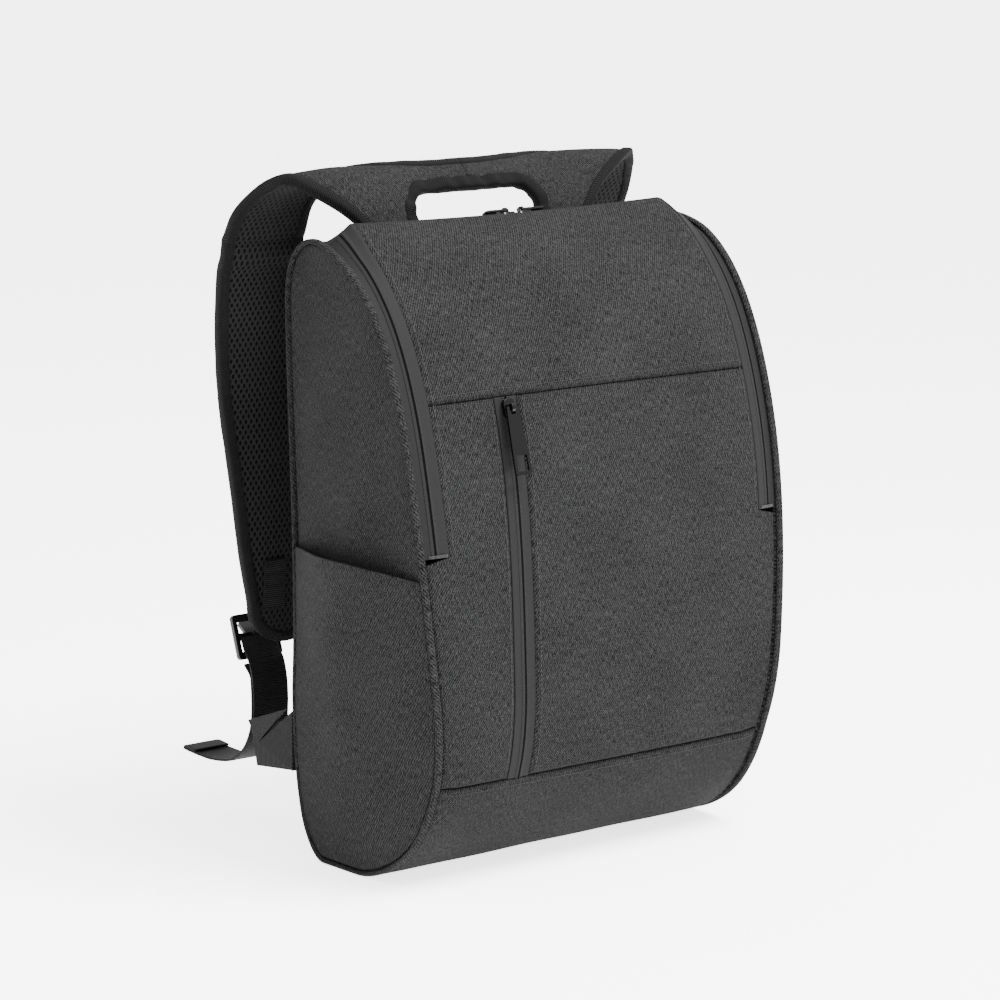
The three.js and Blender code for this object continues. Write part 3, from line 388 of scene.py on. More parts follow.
def band(arc, x, sink):
    """A point of the band, x from the middle, sunk below the outer face."""
    y, z, out_y, out_z = outline_at(arc)
    half = half_width(y, z) - SIDE_WALL
    ramp = np.clip((half - np.abs(x)) / TAPE_WIDTH, 0, 1)
    across = np.clip(1 - (x / (half - TAPE_WIDTH)) ** 2, 0, 1)
    where = np.mod(arc, AROUND)
    lift = np.interp(where, band_arc, band_ramp) * ramp - sink
    lift = lift + np.interp(where, band_arc, band_crown) * across
    sunk = half_width(y - out_y * sink, z - out_z * sink) - SIDE_WALL
    return np.stack([x * sunk / half, y + out_y * lift, z + out_z * lift], axis=-1)


def band_edge(side, inset=0.0):
    def edge(arc):
        y, z, _, _ = outline_at(arc)
        return side * (half_width(y, z) - SIDE_WALL - inset)
    return edge


# Shell panels
# Twill over thin foam, turned in along every seam. The front is cut in two beside its upright
# zip, and steps in above the lower ends of the main zip.
SEAM_ROLL = 2.4 * MM
SEAM_WIDTH = 3.6 * MM
ZIP_X = -78 * MM
ZIP_WIDTH = 18 * MM


def seam_sink(distance):
    return SEAM_ROLL * np.clip(1 - distance / SEAM_WIDTH, 0, 1) ** 2


def band_panel(name, start, end, left, right, wall, material, step=4 * MM, swell=0.0, waves=0.5 * MM):
    rows = start + stations(end - start, step)
    width = float(np.mean(right(rows) - left(rows)))
    columns = stations(width, step) / width

    def place(column, row, depth):
        low, high = left(row), right(row)
        x = low + (high - low) * column
        edge = np.minimum.reduce([x - low, high - x, row - start, end - row])
        inner = smooth(edge / (25 * MM))
        sink = seam_sink(edge) - inner * (swell + waves * ripple(x, row, 0.11, start))
        return band(row, x, sink + depth), x, row

    piece = sewn(name, columns, rows, place, material)
    thicken(piece, wall)
    return piece


def front_edge(side):
    upper, lower = band_edge(side, TAPE_WIDTH + 0.3 * MM), band_edge(side)
    return lambda arc: np.where(arc > ZIP_END, upper(arc), lower(arc))


def beside_zip(side):
    return lambda arc: np.full_like(arc, ZIP_X + side * ZIP_WIDTH / 2)


base = band_panel("base_cloth", BACK_SEAM - AROUND, LOWER_SEAM - 0.3 * MM,
                  band_edge(-1), band_edge(1), 4 * MM, cloth_front)
front_left = band_panel("front_cloth_left", LOWER_SEAM, FLAP_SEAM - 0.3 * MM,
                        front_edge(-1), beside_zip(-1), 4 * MM, cloth_front)
front_right = band_panel("front_cloth_right", LOWER_SEAM, FLAP_SEAM - 0.3 * MM,
                         beside_zip(1), front_edge(1), 4 * MM, cloth_front)
flap = band_panel("flap_cloth", FLAP_SEAM, RIDGE, band_edge(-1, TAPE_WIDTH + 0.3 * MM),
                  band_edge(1, TAPE_WIDTH + 0.3 * MM), 3 * MM, cloth_front)
gusset = band_panel("top_gusset_cloth", TOP_SEAM + 0.3 * MM, GUSSET_SEAM,
                    band_edge(-1), band_edge(1), 3 * MM, cloth_front)
for piece, node in (
    (base, "base_panel"),
    (front_left, "front_panel_left"),
    (front_right, "front_panel_right"),
    (flap, "flap_panel"),
    (gusset, "top_gusset"),
):
    fit(piece, "shell_cloth", node)


# Zips
# Reverse coil zips: a smooth tape whose halves meet in a fine line, with the sewn coil showing
# as two low rows of ticks. The main one climbs beside both front edges and crosses behind the
# ridge; the pocket's runs straight down the front.
COIL_PITCH = 1.3 * MM
COIL_HALF = 2.6 * MM


def zip_tape():
    finish = Finish("zip_tape", roughness=0.7, specular_ior_level=0.06)
    across, along = finish.cut()
    aside = across.math("ABSOLUTE")
    coil = aside.between(0.5 * MM, 1.1 * MM) * (1 - aside.between(COIL_HALF, COIL_HALF + 0.5 * MM))
    tick = along.wave(COIL_PITCH)
    # The fine line where the halves meet is a groove in the relief and painted shade in the colour.
    shaded_slit = 1 - aside.between(0.35 * MM, 1.1 * MM)
    rib = finish.noise(finish.point(across * 2600.0, along * 300.0), 1.0)
    tone = 0.45 + rib * 0.35 + coil * tick * 0.25 - shaded_slit * 0.75
    finish.colour(finish.shade(tone.between(0.0, 1.0), grey(0.0008), grey(0.0105)))
    finish.relief(rib * 0.25 + coil * (tick * 0.8 + 0.9) - shaded_slit, 0.35 * MM)
    return finish.material


tape_cloth = zip_tape()


def tape_panel(name, start, end, left, right, sink=0.0):
    rows = start + stations(end - start, 3 * MM)
    width = float(np.mean(right(rows) - left(rows)))
    halves = np.array([0, 0.06, 0.14, 0.24, 0.33, 0.4, 0.44, 0.47, 0.49])
    columns = np.concatenate([halves, [0.5], 1 - halves[::-1]])

    def place(column, row, depth):
        low, high = left(row), right(row)
        x = low + (high - low) * column
        aside = (column - 0.5) * width
        coil = 0.7 * MM * np.exp(-(aside / (2.6 * MM)) ** 4)
        groove = 0.9 * MM * np.exp(-(aside / (0.4 * MM)) ** 2)
        return band(row, x, sink - coil + groove + depth), aside, row

    piece = sewn(name, columns, rows, place, tape_cloth)
    thicken(piece, 1.4 * MM)
    return piece


pocket_tape = tape_panel("pocket_zip_tape", LOWER_SEAM, FLAP_SEAM - 0.3 * MM,
                         beside_zip(-1), beside_zip(1), 1.4 * MM)
fit(pocket_tape, "tape_cloth", "front_zip")
for side, hand in ((-1, "left"), (1, "right")):
    edges = band_edge(side, -1.6 * MM), band_edge(side, TAPE_WIDTH + 1.4 * MM)
    tape = tape_panel(f"main_zip_tape_{hand}", ZIP_END + 0.3 * MM, RIDGE,
                      *(edges if side < 0 else edges[::-1]), 0.6 * MM)
    fit(tape, "tape_cloth", f"main_zip_{hand}")


def top_tape():
    rows = RIDGE + 0.3 * MM + np.linspace(0, TOP_TAPE - 0.3 * MM, 15)
    columns = stations(1.0, 4 * MM)

    def place(column, row, depth):
        low, high = band_edge(-1)(row), band_edge(1)(row)
        aside = row - RIDGE - TOP_TAPE / 2
        coil = 0.7 * MM * np.exp(-(aside / (2.6 * MM)) ** 4)
        x = low + (high - low) * column
        return band(row, x, depth - coil), aside, x

    piece = sewn("main_zip_tape_top", columns, rows, place, tape_cloth)
    thicken(piece, 1.4 * MM)
    return piece


fit(top_tape(), "tape_cloth", "main_zip_top")


# Side panels
# Twill over foam, cut to the outline and pulled flat between the seams, with long soft dents
# that run down from the top and over the pocket's mouth.
def around_square(column, row):
    """Turns a square's grid into rings: how far out, and how far round in quarters."""
    ring = np.maximum(np.maximum(np.abs(column), np.abs(row)), 1e-9)
    c, r = column / ring, row / ring
    right = (np.abs(c) >= np.abs(r)) & (c > 0)
    left = (np.abs(c) >= np.abs(r)) & (c <= 0)
    turn = np.where(right, (r + 1) / 2, np.where(left, 2 + (1 - r) / 2,
                    np.where(r > 0, 1 + (1 - c) / 2, 3 + (c + 1) / 2)))
    return ring, turn


SIDE_MIDDLE = (BACK - BODY_DEPTH * 0.48, SIDE_HEIGHT * 0.45)


def side_dents(y, z):
    low = smooth((z - 0.16) / 0.16) * smooth((0.43 - z) / 0.08)
    fold = np.sin((y * 0.97 + z * 0.23) * 2 * math.pi / 0.058 + 0.8)
    valley = np.exp(-(((y + 0.012) * 0.9 + (z - 0.27) * 0.28) / 0.017) ** 2)
    return low * (0.7 * MM * fold + 2.6 * MM * valley * smooth((0.36 - z) / 0.1)) \
        + 0.5 * MM * ripple(y, z, 0.09, 1.0)


def side_panel(side, hand):
    reach = stations(0.29, 5 * MM) / 0.29 * 2 - 1
    corners = [front_arc(30 * MM), front_arc(360 * MM), back_arc(390 * MM), back_arc(50 * MM)]
    quarters = np.array(corners + [corners[0] + AROUND])

    def place(column, row, depth):
        ring, turn = around_square(column, row)
        rim_y, rim_z, _, _ = outline_at(np.interp(turn, range(5), quarters))
        y = SIDE_MIDDLE[0] + (rim_y - SIDE_MIDDLE[0]) * ring
        z = SIDE_MIDDLE[1] + (rim_z - SIDE_MIDDLE[1]) * ring
        edge = (1 - ring) * np.hypot(rim_y - SIDE_MIDDLE[0], rim_z - SIDE_MIDDLE[1])
        inner = smooth(edge / (22 * MM))
        out = half_width(y, z) - seam_sink(edge) * 0.8 - depth
        out = out - inner * side_dents(y, z)
        return np.stack([side * out, y, z], axis=-1), -side * y, z

    piece = sewn(f"side_cloth_{hand}", reach, reach, place, cloth_side if side < 0 else cloth_front)
    thicken(piece, SIDE_WALL)
    fit(piece, "shell_cloth", f"side_panel_{hand}")


# Piping
# A soft cord wrapped in the shell's own cloth and pressed flat in both side seams, with the
# narrow turned edge of the side panel beside it as a second, thinner ridge.
PIPING_RADIUS = 1.8 * MM
PIPING_SPREAD = 1.65


def round_seam(name, side, radius, inward, outward, spread=1.0, sunk=0.0, tuck_height=34 * MM):
    turns = np.linspace(0, 2 * math.pi, 11)
    rows = np.linspace(0, AROUND, round(AROUND / (2.5 * MM)))

    def place(column, row, depth):
        y, z, out_y, out_z = outline_at(row)
        tuck = 1 - smooth(z / tuck_height)
        seat = outward * math.sqrt(0.5)
        away = seat + (outward - seat) * np.sqrt(tuck) - inward
        rise = (seat - sunk) * (1 - tuck) - radius * tuck
        lift = rise + (radius - depth) * np.sin(column)
        x = half_width(y, z) + away + (radius - depth) * np.cos(column) * spread
        return np.stack([side * x, y + out_y * lift, z + out_z * lift], axis=-1), column * radius, row

    return sewn(name, turns, rows, place, cloth_side, weld=True)


for side, hand in ((-1, "left"), (1, "right")):
    side_panel(side, hand)
    cord = round_seam(f"piping_cloth_{hand}", side, PIPING_RADIUS, 1.3 * MM, PIPING_RADIUS + 0.3 * MM,
                      PIPING_SPREAD, 0.6 * MM)
    fit(cord, "shell_cloth", f"piping_{hand}")
    ridge = round_seam(f"piping_ridge_{hand}", side, 1.2 * MM, 2.6 * MM, PIPING_RADIUS + 0.3 * MM)
    fit(ridge, "shell_cloth")


# Topstitching
# Rows of lockstitch beside the seams of the front, in thread a little paler than the cloth, and
# a dense pale bar tack across the lower end of each main zip.
STITCH, STITCH_STEP, THREAD = 2.3 * MM, 3.2 * MM, 0.34 * MM


def stitched(name, lines, level, thread=THREAD):
    bm = bmesh.new()
    for line in lines:
        for start, end in line:
            start, end = Vector(start), Vector(end)
            turn = (end - start).to_track_quat("X", "Z")
            size = Vector(((end - start).length, thread * 1.4, thread))
            bmesh.ops.create_cube(bm, size=1, matrix=Matrix.LocRotScale((start + end) / 2, turn, size))
    mesh = bpy.data.meshes.new(name)
    bm.to_mesh(mesh)
    bm.free()
    finish = Finish(name, roughness=0.7, specular_ior_level=0.1)
    right, _, up = finish.place()
    thread_noise = finish.noise(finish.point(right, up), 900.0)
    finish.colour(finish.shade(thread_noise, grey(level * 0.6), grey(level)))
    mesh.materials.append(finish.material)
    piece = bpy.data.objects.new(name, mesh)
    bpy.context.scene.collection.objects.link(piece)
    fit(piece, "shell_cloth")


def seam_row(arcs, xs, lift=0.15 * MM):
    """Stitches along a line on the band, given at even steps."""
    length = np.concatenate([[0], np.cumsum(np.hypot(np.diff(arcs), np.diff(xs)))])
    starts = np.arange(STITCH_STEP, length[-1] - STITCH_STEP, STITCH_STEP)
    ends = [band(np.interp(where, length, arcs), np.interp(where, length, xs), -lift)
            for where in (starts, starts + STITCH)]
    return list(zip(*ends))


def front_rows():
    rows = []
    for seam, offset in ((FLAP_SEAM, 5 * MM), (LOWER_SEAM, -5 * MM)):
        reach = float(band_edge(1, TAPE_WIDTH if seam == FLAP_SEAM else 0)(np.array([seam]))[0]) - 4 * MM
        xs = np.linspace(-reach, reach, 200)
        rows.append(seam_row(np.full_like(xs, seam + offset), xs))
    arcs = np.linspace(LOWER_SEAM + 3 * MM, FLAP_SEAM - 3 * MM, 200)
    for side in (-1, 1):
        rows.append(seam_row(arcs, np.full_like(arcs, ZIP_X + side * (ZIP_WIDTH / 2 + 4 * MM))))
        arcs_side = np.linspace(ZIP_END + 3 * MM, RIDGE - 4 * MM, 300)
        rows.append(seam_row(arcs_side, band_edge(side, TAPE_WIDTH + 5 * MM)(arcs_side)))
    return rows


def bar_tack(side):
    start, end = (band_edge(side, inset)(np.array([ZIP_END]))[0]
                  for inset in (3.5 * MM, TAPE_WIDTH - 1 * MM))
    count = 15
    across = np.linspace(start, end, count)
    low = band(np.full(count, ZIP_END + 0.6 * MM), across, -0.5 * MM)
    high = band(np.full(count, ZIP_END + 2.6 * MM), across + 0.3 * MM, -0.5 * MM)
    return list(zip(low, high))


stitched("topstitching", front_rows(), 0.022)
stitched("bar_tacks", [bar_tack(-1), bar_tack(1)], 0.05, 0.3 * MM)


# Side pockets
# A slack single layer sewn into the side seams and hemmed across the top, cut wider than the
# side so that it stands away from it and sags.
POCKET_HEIGHT = 220 * MM
POCKET_CREST = 5 * MM
POCKET_BULGE = 14 * MM
POCKET_WALL = 1.4 * MM
POCKET_MIDDLE = (BACK - BODY_DEPTH * 0.48, POCKET_HEIGHT * 0.55)
pocket_front, pocket_back = front_arc(POCKET_HEIGHT), back_arc(POCKET_HEIGHT) - AROUND


def pocket_rim(turn):
    """The rim in quarters: up the front, back along the hem, down the back and under."""
    low_front, low_back = front_arc(40 * MM), back_arc(50 * MM) - AROUND
    arc = np.interp(turn, [0, 1, 1.0001, 2, 3, 4], [low_front, pocket_front, pocket_back, pocket_back,
                                                  low_back, low_front])
    y, z, out_y, out_z = outline_at(arc)
    inset = 1.2 * MM + 3.9 * MM * (1 - smooth(z / (34 * MM)))
    y, z = y - out_y * inset, z - out_z * inset
    ends = [outline_at(pocket_front), outline_at(pocket_back)]
    along = np.clip(turn - 1, 0, 1)
    hem_y = ends[0][0] + (ends[1][0] - ends[0][0]) * along
    hem_z = POCKET_HEIGHT + POCKET_CREST * np.sin(math.pi * along)
    on_hem = (turn > 1) & (turn < 2)
    return np.where(on_hem, hem_y, y), np.where(on_hem, hem_z, z)


def side_pocket(side, hand):
    reach = stations(0.2, 4 * MM, (0.0, 0.8, 1.8, 3.2)) / 0.2 * 2 - 1

    def place(column, row, depth):
        ring, turn = around_square(column, row)
        rim_y, rim_z = pocket_rim(turn)
        y = POCKET_MIDDLE[0] + (rim_y - POCKET_MIDDLE[0]) * ring
        z = POCKET_MIDDLE[1] + (rim_z - POCKET_MIDDLE[1]) * ring
        front_y = outline_at(np.vectorize(front_arc)(np.clip(z, 0.004, 0.3)))[0]
        back_y = outline_at(np.vectorize(back_arc)(np.clip(z, 0.004, 0.3)))[0]
        share = np.clip((back_y - y) / (back_y - front_y), 0, 1)
        bulge = POCKET_BULGE * np.sin(math.pi * share) * np.sin(math.pi / 2 * np.clip(z / 0.121, 0, 1))
        out = half_width(y, z) + 0.5 * MM + POCKET_WALL + bulge - depth
        out = out + 0.6 * MM * ripple(y, z, 0.07, 2.0) * smooth(bulge / (5 * MM))
        return np.stack([side * out, y, z], axis=-1), -side * y, z

    cloth = cloth_side if side < 0 else cloth_front
    piece = sewn(f"side_pocket_cloth_{hand}", reach, reach, place, cloth)
    thicken(piece, POCKET_WALL)
    fit(piece, "shell_cloth", f"side_pocket_{hand}")


for side, hand in ((-1, "left"), (1, "right")):
    side_pocket(side, hand)


# Spacer mesh
# A thick knitted mesh with rows of rounded diamond holes, black, over dark foam. The holes are painted
# near black, partly for the dark foam and partly as painted shade.
MESH_PITCH = 4.6 * MM


def spacer_mesh():
    finish = Finish("spacer_mesh", roughness=0.8, specular_ior_level=0.05)
    across, along = finish.cut()
    warp = finish.noise(finish.point(across, along), 60.0)
    u = across * (1 / MESH_PITCH) + warp * 0.25
    v = along * (0.62 / MESH_PITCH)
    hole = (u + v).wave(1.0) * (u - v).wave(1.0)
    thread = finish.noise(finish.point(across, along), 2400.0)
    shaded_hole = hole.between(0.22, 0.5)
    # The holes go near black: partly the dark foam under them, partly painted shade in them.
    tone = 1 - shaded_hole + thread * 0.4 - 0.2
    finish.colour(finish.shade(tone.between(0.0, 1.2), grey(0.0001), grey(0.0085)))
    finish.relief(1 - shaded_hole + thread * 0.2, 0.9 * MM)
    return finish.material


mesh_cloth = spacer_mesh()


# Back panel
# Foam under spacer mesh, the part that lies on the wearer's back: one crowned pad with a sewn
# channel down its middle and one across.
PAD_CROWN = 4.5 * MM


def back_pad():
    rows = GUSSET_SEAM + 0.3 * MM + stations(BACK_SEAM - GUSSET_SEAM - 0.6 * MM, 5 * MM)
    length = BACK_SEAM - GUSSET_SEAM
    left, right = band_edge(-1), band_edge(1)
    columns = stations(0.294, 5 * MM) / 0.294

    def place(column, row, depth):
        low, high = left(row), right(row)
        x = low + (high - low) * column
        edge = np.minimum.reduce([x - low, high - x, row - rows[0], rows[-1] - row])
        down = (row - GUSSET_SEAM) / length
        ends = smooth((0.93 - down) / 0.05) * smooth((down - 0.05) / 0.05)
        channel = np.exp(-(x / (5 * MM)) ** 2) * ends
        channel = np.maximum(channel, np.exp(-((row - GUSSET_SEAM - 0.6 * length) / (5 * MM)) ** 2))
        lift = PAD_CROWN * smooth(edge / (30 * MM)) * (1 - 0.9 * channel)
        return band(row, x, seam_sink(edge) - lift + depth), x, row

    piece = sewn("back_pad", columns, rows, place, mesh_cloth)
    thicken(piece, 6 * MM)
    fit(piece, "mesh_cloth", "back_panel")


back_pad()


# Straps and yoke
# Each strap is one piece from the centre seam of the yoke, over the shoulder and down to its
# round end: twill and foam on the outside, spacer mesh on the side that faces the pack.
STRAP_BACK = 70 * MM
STRAP_SPREAD = 179 * MM
YOKE_RISE = 47 * MM
STRAP_DROP = 297 * MM
YOKE_SETBACK = 27 * MM
STRAP_FOAM, STRAP_MESH = 4.2 * MM, 3 * MM
STRAP_THICK = STRAP_FOAM + STRAP_MESH + 0.3 * MM
STRAP_BINDING = 9 * MM
STRAP_END = 28 * MM
NECK_DEPTH, NECK_RUN, NECK_POWER = 59 * MM, 50 * MM, 2.6
HANDLE_HALF, HANDLE_RISE, HANDLE_CORNER, HANDLE_BINDING = 54 * MM, 30 * MM, 16 * MM, 11 * MM
yoke_seat = (outline_arc > TOP_SEAM) & (outline_y >= BACK - YOKE_SETBACK)
SEAT_Z = float(outline_z[np.nonzero(yoke_seat)[0][0]])
# back, up, inner edge, outer edge, turn forward and dip, as shares of the sizes above
strap_sections = np.array([
    (-0.386, 0.01, 0.62, 0.536, 0, 0),
    (-0.371, 0.2, 0.62, 0.581, 0, 0),
    (-0.286, 0.468, 0.62, 0.654, 0, 0),
    (-0.157, 0.745, 0.62, 0.771, -0.043, 0),
    (-0.057, 0.915, 0.62, 0.844, -0.086, 0),
    (0.05, 1, 0.62, 0.888, -0.129, -0.03),
    (0.157, 1, 0.62, 0.922, -0.129, -0.11),
    (0.257, 0.915, 0.62, 0.944, -0.114, -0.14),
    (0.343, 0.745, 0.62, 0.966, -0.1, -0.12),
    (0.443, 0.447, 0.62, 0.994, -0.071, -0.06),
    (0.543, 0.005, 0.62, 1, -0.029, 0),
    (0.657, -0.077, 0.62, 0.989, 0, 0),
    (0.771, -0.226, 0.598, 0.972, 0, 0),
    (0.829, -0.397, 0.57, 0.944, 0, 0),
    (0.857, -0.593, 0.514, 0.888, 0, 0),
    (0.914, -0.785, 0.455, 0.83, 0, 0),
    (0.971, -0.906, 0.419, 0.777, 0, 0),
    (1, -1, 0.419, 0.76, 0, 0),
])


def through(points, cuts):
    """A smooth line through rows of values."""
    steps = np.arange((len(points) - 1) * cuts + 1) / cuts
    low = np.minimum(steps.astype(int), len(points) - 2)
    share = (steps - low)[:, None]
    a, b, c, d = (points[np.clip(low + shift, 0, len(points) - 1)] for shift in (-1, 0, 1, 2))
    return b + 0.5 * share * (c - a + share * (2 * a - 5 * b + 4 * c - d + share * (3 * (b - c) + d - a)))


strap_rows = through(strap_sections, 12)
for _ in range(12):
    strap_rows[1:-1] = (strap_rows[:-2] + 2 * strap_rows[1:-1] + strap_rows[2:]) / 4
strap_y = BACK + strap_rows[:, 0] * STRAP_BACK
strap_z = SEAT_Z + strap_rows[:, 1] * np.where(strap_rows[:, 1] > 0, YOKE_RISE, STRAP_DROP)
strap_inner, strap_outer = strap_rows[:, 2] * STRAP_SPREAD, strap_rows[:, 3] * STRAP_SPREAD
strap_turn, strap_dip = strap_rows[:, 4] * STRAP_BACK, strap_rows[:, 5] * YOKE_RISE
strap_arc = np.concatenate([[0], np.cumsum(np.hypot(np.diff(strap_y), np.diff(strap_z)))])
STRAP_LENGTH = float(strap_arc[-1])
strap_out_y = -np.gradient(strap_z, strap_arc)
strap_out_z = np.gradient(strap_y, strap_arc)


def strap(arc, x, depth, side):
    y, z, out_y, out_z, outer, turn, dip = (
        np.interp(arc, strap_arc, values)
        for values in (strap_y, strap_z, strap_out_y, strap_out_z, strap_outer, strap_turn, strap_dip)
    )
    middle = STRAP_SPREAD * 0.335
    across = np.clip((np.abs(x) - middle) / (outer - middle), 0, 1)
    across = across * across * 0.5 + across * 0.5
    back, up = y + turn * across - out_y * depth, z + dip * across - out_z * depth
    return np.stack([side * x, back, up], axis=-1)


def strap_edge():
    """Down the outer edge, round the end, up the inner edge and round the neck."""
    start, neck_end = STRAP_LENGTH - STRAP_END, NECK_DEPTH + NECK_RUN
    outer = [(arc, np.interp(arc, strap_arc, strap_outer)) for arc in np.linspace(0, start, 150)[:-1]]
    low, high = (float(np.interp(start, strap_arc, values)) for values in (strap_inner, strap_outer))
    turns = np.linspace(0, math.pi, 33)
    middle, half = (low + high) / 2, (high - low) / 2
    end = [(start + STRAP_END * math.sin(turn), middle + half * math.cos(turn)) for turn in turns]
    inner = [(arc, np.interp(arc, strap_arc, strap_inner))
             for arc in np.linspace(start, neck_end, 120)[1:-1]]
    neck = []
    for turn in np.linspace(math.pi / 2, 0, 60):
        arc = NECK_DEPTH + NECK_RUN * (1 - math.cos(turn) ** (2 / NECK_POWER))
        neck.append((arc, np.interp(arc, strap_arc, strap_inner) * math.sin(turn) ** (2 / NECK_POWER)))
    return np.array(outer + end + inner + neck)


def inset_line(line, inset, side=1):
    """The line moved sideways by an inset, kept on the same stations."""
    along = np.gradient(line, axis=0)
    along /= np.linalg.norm(along, axis=1)[:, None]
    return line + side * inset * np.stack([along[:, 1], -along[:, 0]], axis=1)


def even_line(line, step):
    """The line again, at even distances."""
    length = np.concatenate([[0], np.cumsum(np.linalg.norm(np.diff(line, axis=0), axis=1))])
    where = np.linspace(0, length[-1], round(length[-1] / step) + 1)
    return np.stack([np.interp(where, length, line[:, axis]) for axis in (0, 1)], axis=1)


edge_line = even_line(strap_edge(), 2 * MM)


def handle_edge(inset):
    """From the seat up beside the cut-out and over to the middle."""
    side, top, corner = HANDLE_HALF + inset, HANDLE_RISE + inset, HANDLE_CORNER + inset
    line = [(arc, side) for arc in np.linspace(0, top - corner, 8)[:-1]]
    for turn in np.linspace(0, math.pi / 2, 12):
        line.append((top - corner + corner * math.sin(turn), side - corner + corner * math.cos(turn)))
    return np.array(line + [(top, x) for x in np.linspace(side - corner, 0, 12)[1:]])


def nearest(points, line):
    return np.min(np.linalg.norm(points[:, None, :] - line[None, :, :], axis=2), axis=1)


def strap_cloth(name, side, material, depth, puff, inwards):
    """One face of a strap, between its binding, the handle's binding and the centre seam."""
    inset = STRAP_BINDING * 0.72
    edge = inset_line(edge_line, inset)
    tip = int(np.argmax(edge[:, 0]))
    outer, inner = edge[:tip + 1], edge[tip:][::-1]
    hole = handle_edge(HANDLE_BINDING * 0.72)
    hole_top = float(hole[-1, 0])
    neck_start = float(inner[0, 0])
    end = float(edge[tip, 0]) - 0.3 * MM
    rows = [np.linspace(0, hole_top, 26), [hole_top + 0.2 * MM],
            np.linspace(hole_top + 3 * MM, neck_start, 5),
            neck_start + 22 * MM * np.linspace(0.02, 1, 14) ** 2,
            np.linspace(neck_start + 26 * MM, end - 22 * MM, 90),
            end - 20 * MM * np.linspace(1, 0, 16) ** 2]
    rows = np.concatenate(rows)
    columns = np.linspace(0, 1, 25)

    def place(column, row, extra):
        low = np.where(row <= hole_top, np.interp(row, hole[:20, 0], hole[:20, 1]), 0.2 * MM)
        low = np.where(row > neck_start, np.interp(row, inner[:, 0], inner[:, 1]), low)
        over_hole = (row <= hole_top) & (row > hole[18, 0])
        low = np.where(over_hole, np.interp(row, hole[18:, 0], hole[18:, 1]), low)
        high = np.interp(row, outer[:, 0], outer[:, 1])
        x = low + (high - low) * column
        points = np.stack([row, x], axis=1)
        away = np.minimum(nearest(points, edge[::2]), nearest(points, hole))
        away = np.minimum(away, np.where(row < neck_start, x + 3 * MM, 1.0))
        swell = puff * (1 - np.exp(-away / (6 * MM))) + 0.35 * MM * ripple(x, row, 0.045, side)
        level = depth + (swell if inwards else -swell) + (-extra if inwards else extra)
        return strap(row, x, level, side), side * x, row

    return sewn(name, columns, rows, place, material)


for side, hand in ((-1, "left"), (1, "right")):
    outside = strap_cloth(f"strap_cloth_{hand}", side, cloth_side, 0.9 * MM, 1.6 * MM, False)
    thicken(outside, STRAP_FOAM)
    fit(outside, "shell_cloth", f"shoulder_strap_{hand}")
    inside = strap_cloth(f"strap_mesh_cloth_{hand}", side, mesh_cloth,
                         STRAP_THICK - 0.9 * MM, 1.4 * MM, True)
    thicken(inside, STRAP_MESH)
    fit(inside, "mesh_cloth", f"strap_mesh_{hand}")


# Bindings
# Ribbed black grosgrain folded over the strap's edges and stitched through, and a wider one
# wrapped round the grab handle, where it creases.
def ribbed():
    finish = Finish("ribbed_binding", roughness=0.78, specular_ior_level=0.06)
    across, along = finish.cut()
    chevron = across.math("ABSOLUTE") * 1.1 + along
    rib = chevron.wave(2.2 * MM)
    thread = finish.noise(finish.point(across * 900.0, along * 2200.0), 1.0)
    finish.colour(finish.shade(rib * 0.7 + thread * 0.5 - 0.1, grey(0.0006), grey(0.0055)))
    finish.relief(rib + thread * 0.3, 0.45 * MM)
    return finish.material


binding_cloth = ribbed()


def binding(name, line_at, width, side, wrinkle=0.0):
    """line_at(inset) gives the edge line at an inset; the section is a rounded fold."""
    turns = np.linspace(0, 2 * math.pi, 17)[:-1]
    power = 0.55
    across = np.sign(np.cos(turns)) * np.abs(np.cos(turns)) ** power
    up = np.sign(np.sin(turns)) * np.abs(np.sin(turns)) ** power
    lines = [line_at((width + share * (width - 0.5 * MM)) / 2) for share in across]
    count = len(lines[0])
    half = STRAP_THICK / 2
    length = np.arange(count) * 2 * MM

    def place(column, row, depth):
        ring = np.rint(column).astype(int) % 16
        station = np.rint(row).astype(int)
        at = np.array([lines[r][s] for r, s in zip(ring, station)])
        ruck = wrinkle * ripple(length[station], ring * 1.5 * MM, 0.024, 0.4)
        lift = half + 0.6 * MM - depth + ruck * np.abs(up[ring])
        points = strap(at[:, 0], np.abs(at[:, 1]), half - up[ring] * lift, 1)
        points[:, 0] = side * at[:, 1]
        return points, (ring - 4) * 1.6 * MM, length[station]

    return sewn(name, np.arange(17), np.arange(count), place, binding_cloth, weld=True)


def strap_line(inset):
    return inset_line(edge_line, inset)


for side, hand in ((-1, "left"), (1, "right")):
    edging = binding(f"strap_edging_{hand}", strap_line, STRAP_BINDING, side, 0.25 * MM)
    fit(edging, "binding_cloth", f"strap_binding_{hand}")


def handle_line(inset):
    half = handle_edge(inset)
    whole = np.concatenate([half, (half * (1, -1))[::-1][1:]])
    steps = np.linspace(0, len(whole) - 1, 150)
    return np.stack([np.interp(steps, range(len(whole)), whole[:, axis]) for axis in (0, 1)], axis=1)


grip = binding("handle_grip", handle_line, HANDLE_BINDING, 1, 1.5 * MM)
fit(grip, "binding_cloth", "handle_binding")


# Webbing
# Black ribbed webbing: the loop that holds each ladder lock, the run from the lock down to the
# side, and the loose end with its folded hem.
def woven_webbing():
    finish = Finish("webbing", roughness=0.62, specular_ior_level=0.07)
    across, along = finish.cut()
    rib = along.wave(1.7 * MM)
    yarn = across.wave(0.9 * MM)
    tone = rib * 0.6 + yarn * 0.25 + finish.noise(finish.point(across, along), 900.0) * 0.3 - 0.1
    finish.colour(finish.shade(tone.between(0.0, 1.0), grey(0.0006), grey(0.005)))
    finish.relief(rib + yarn * 0.3, 0.3 * MM)
    return finish.material


webbing = woven_webbing()
WEB_WIDTH, WEB_THICK = 30 * MM, 1.5 * MM
LOCK_X = 122 * MM


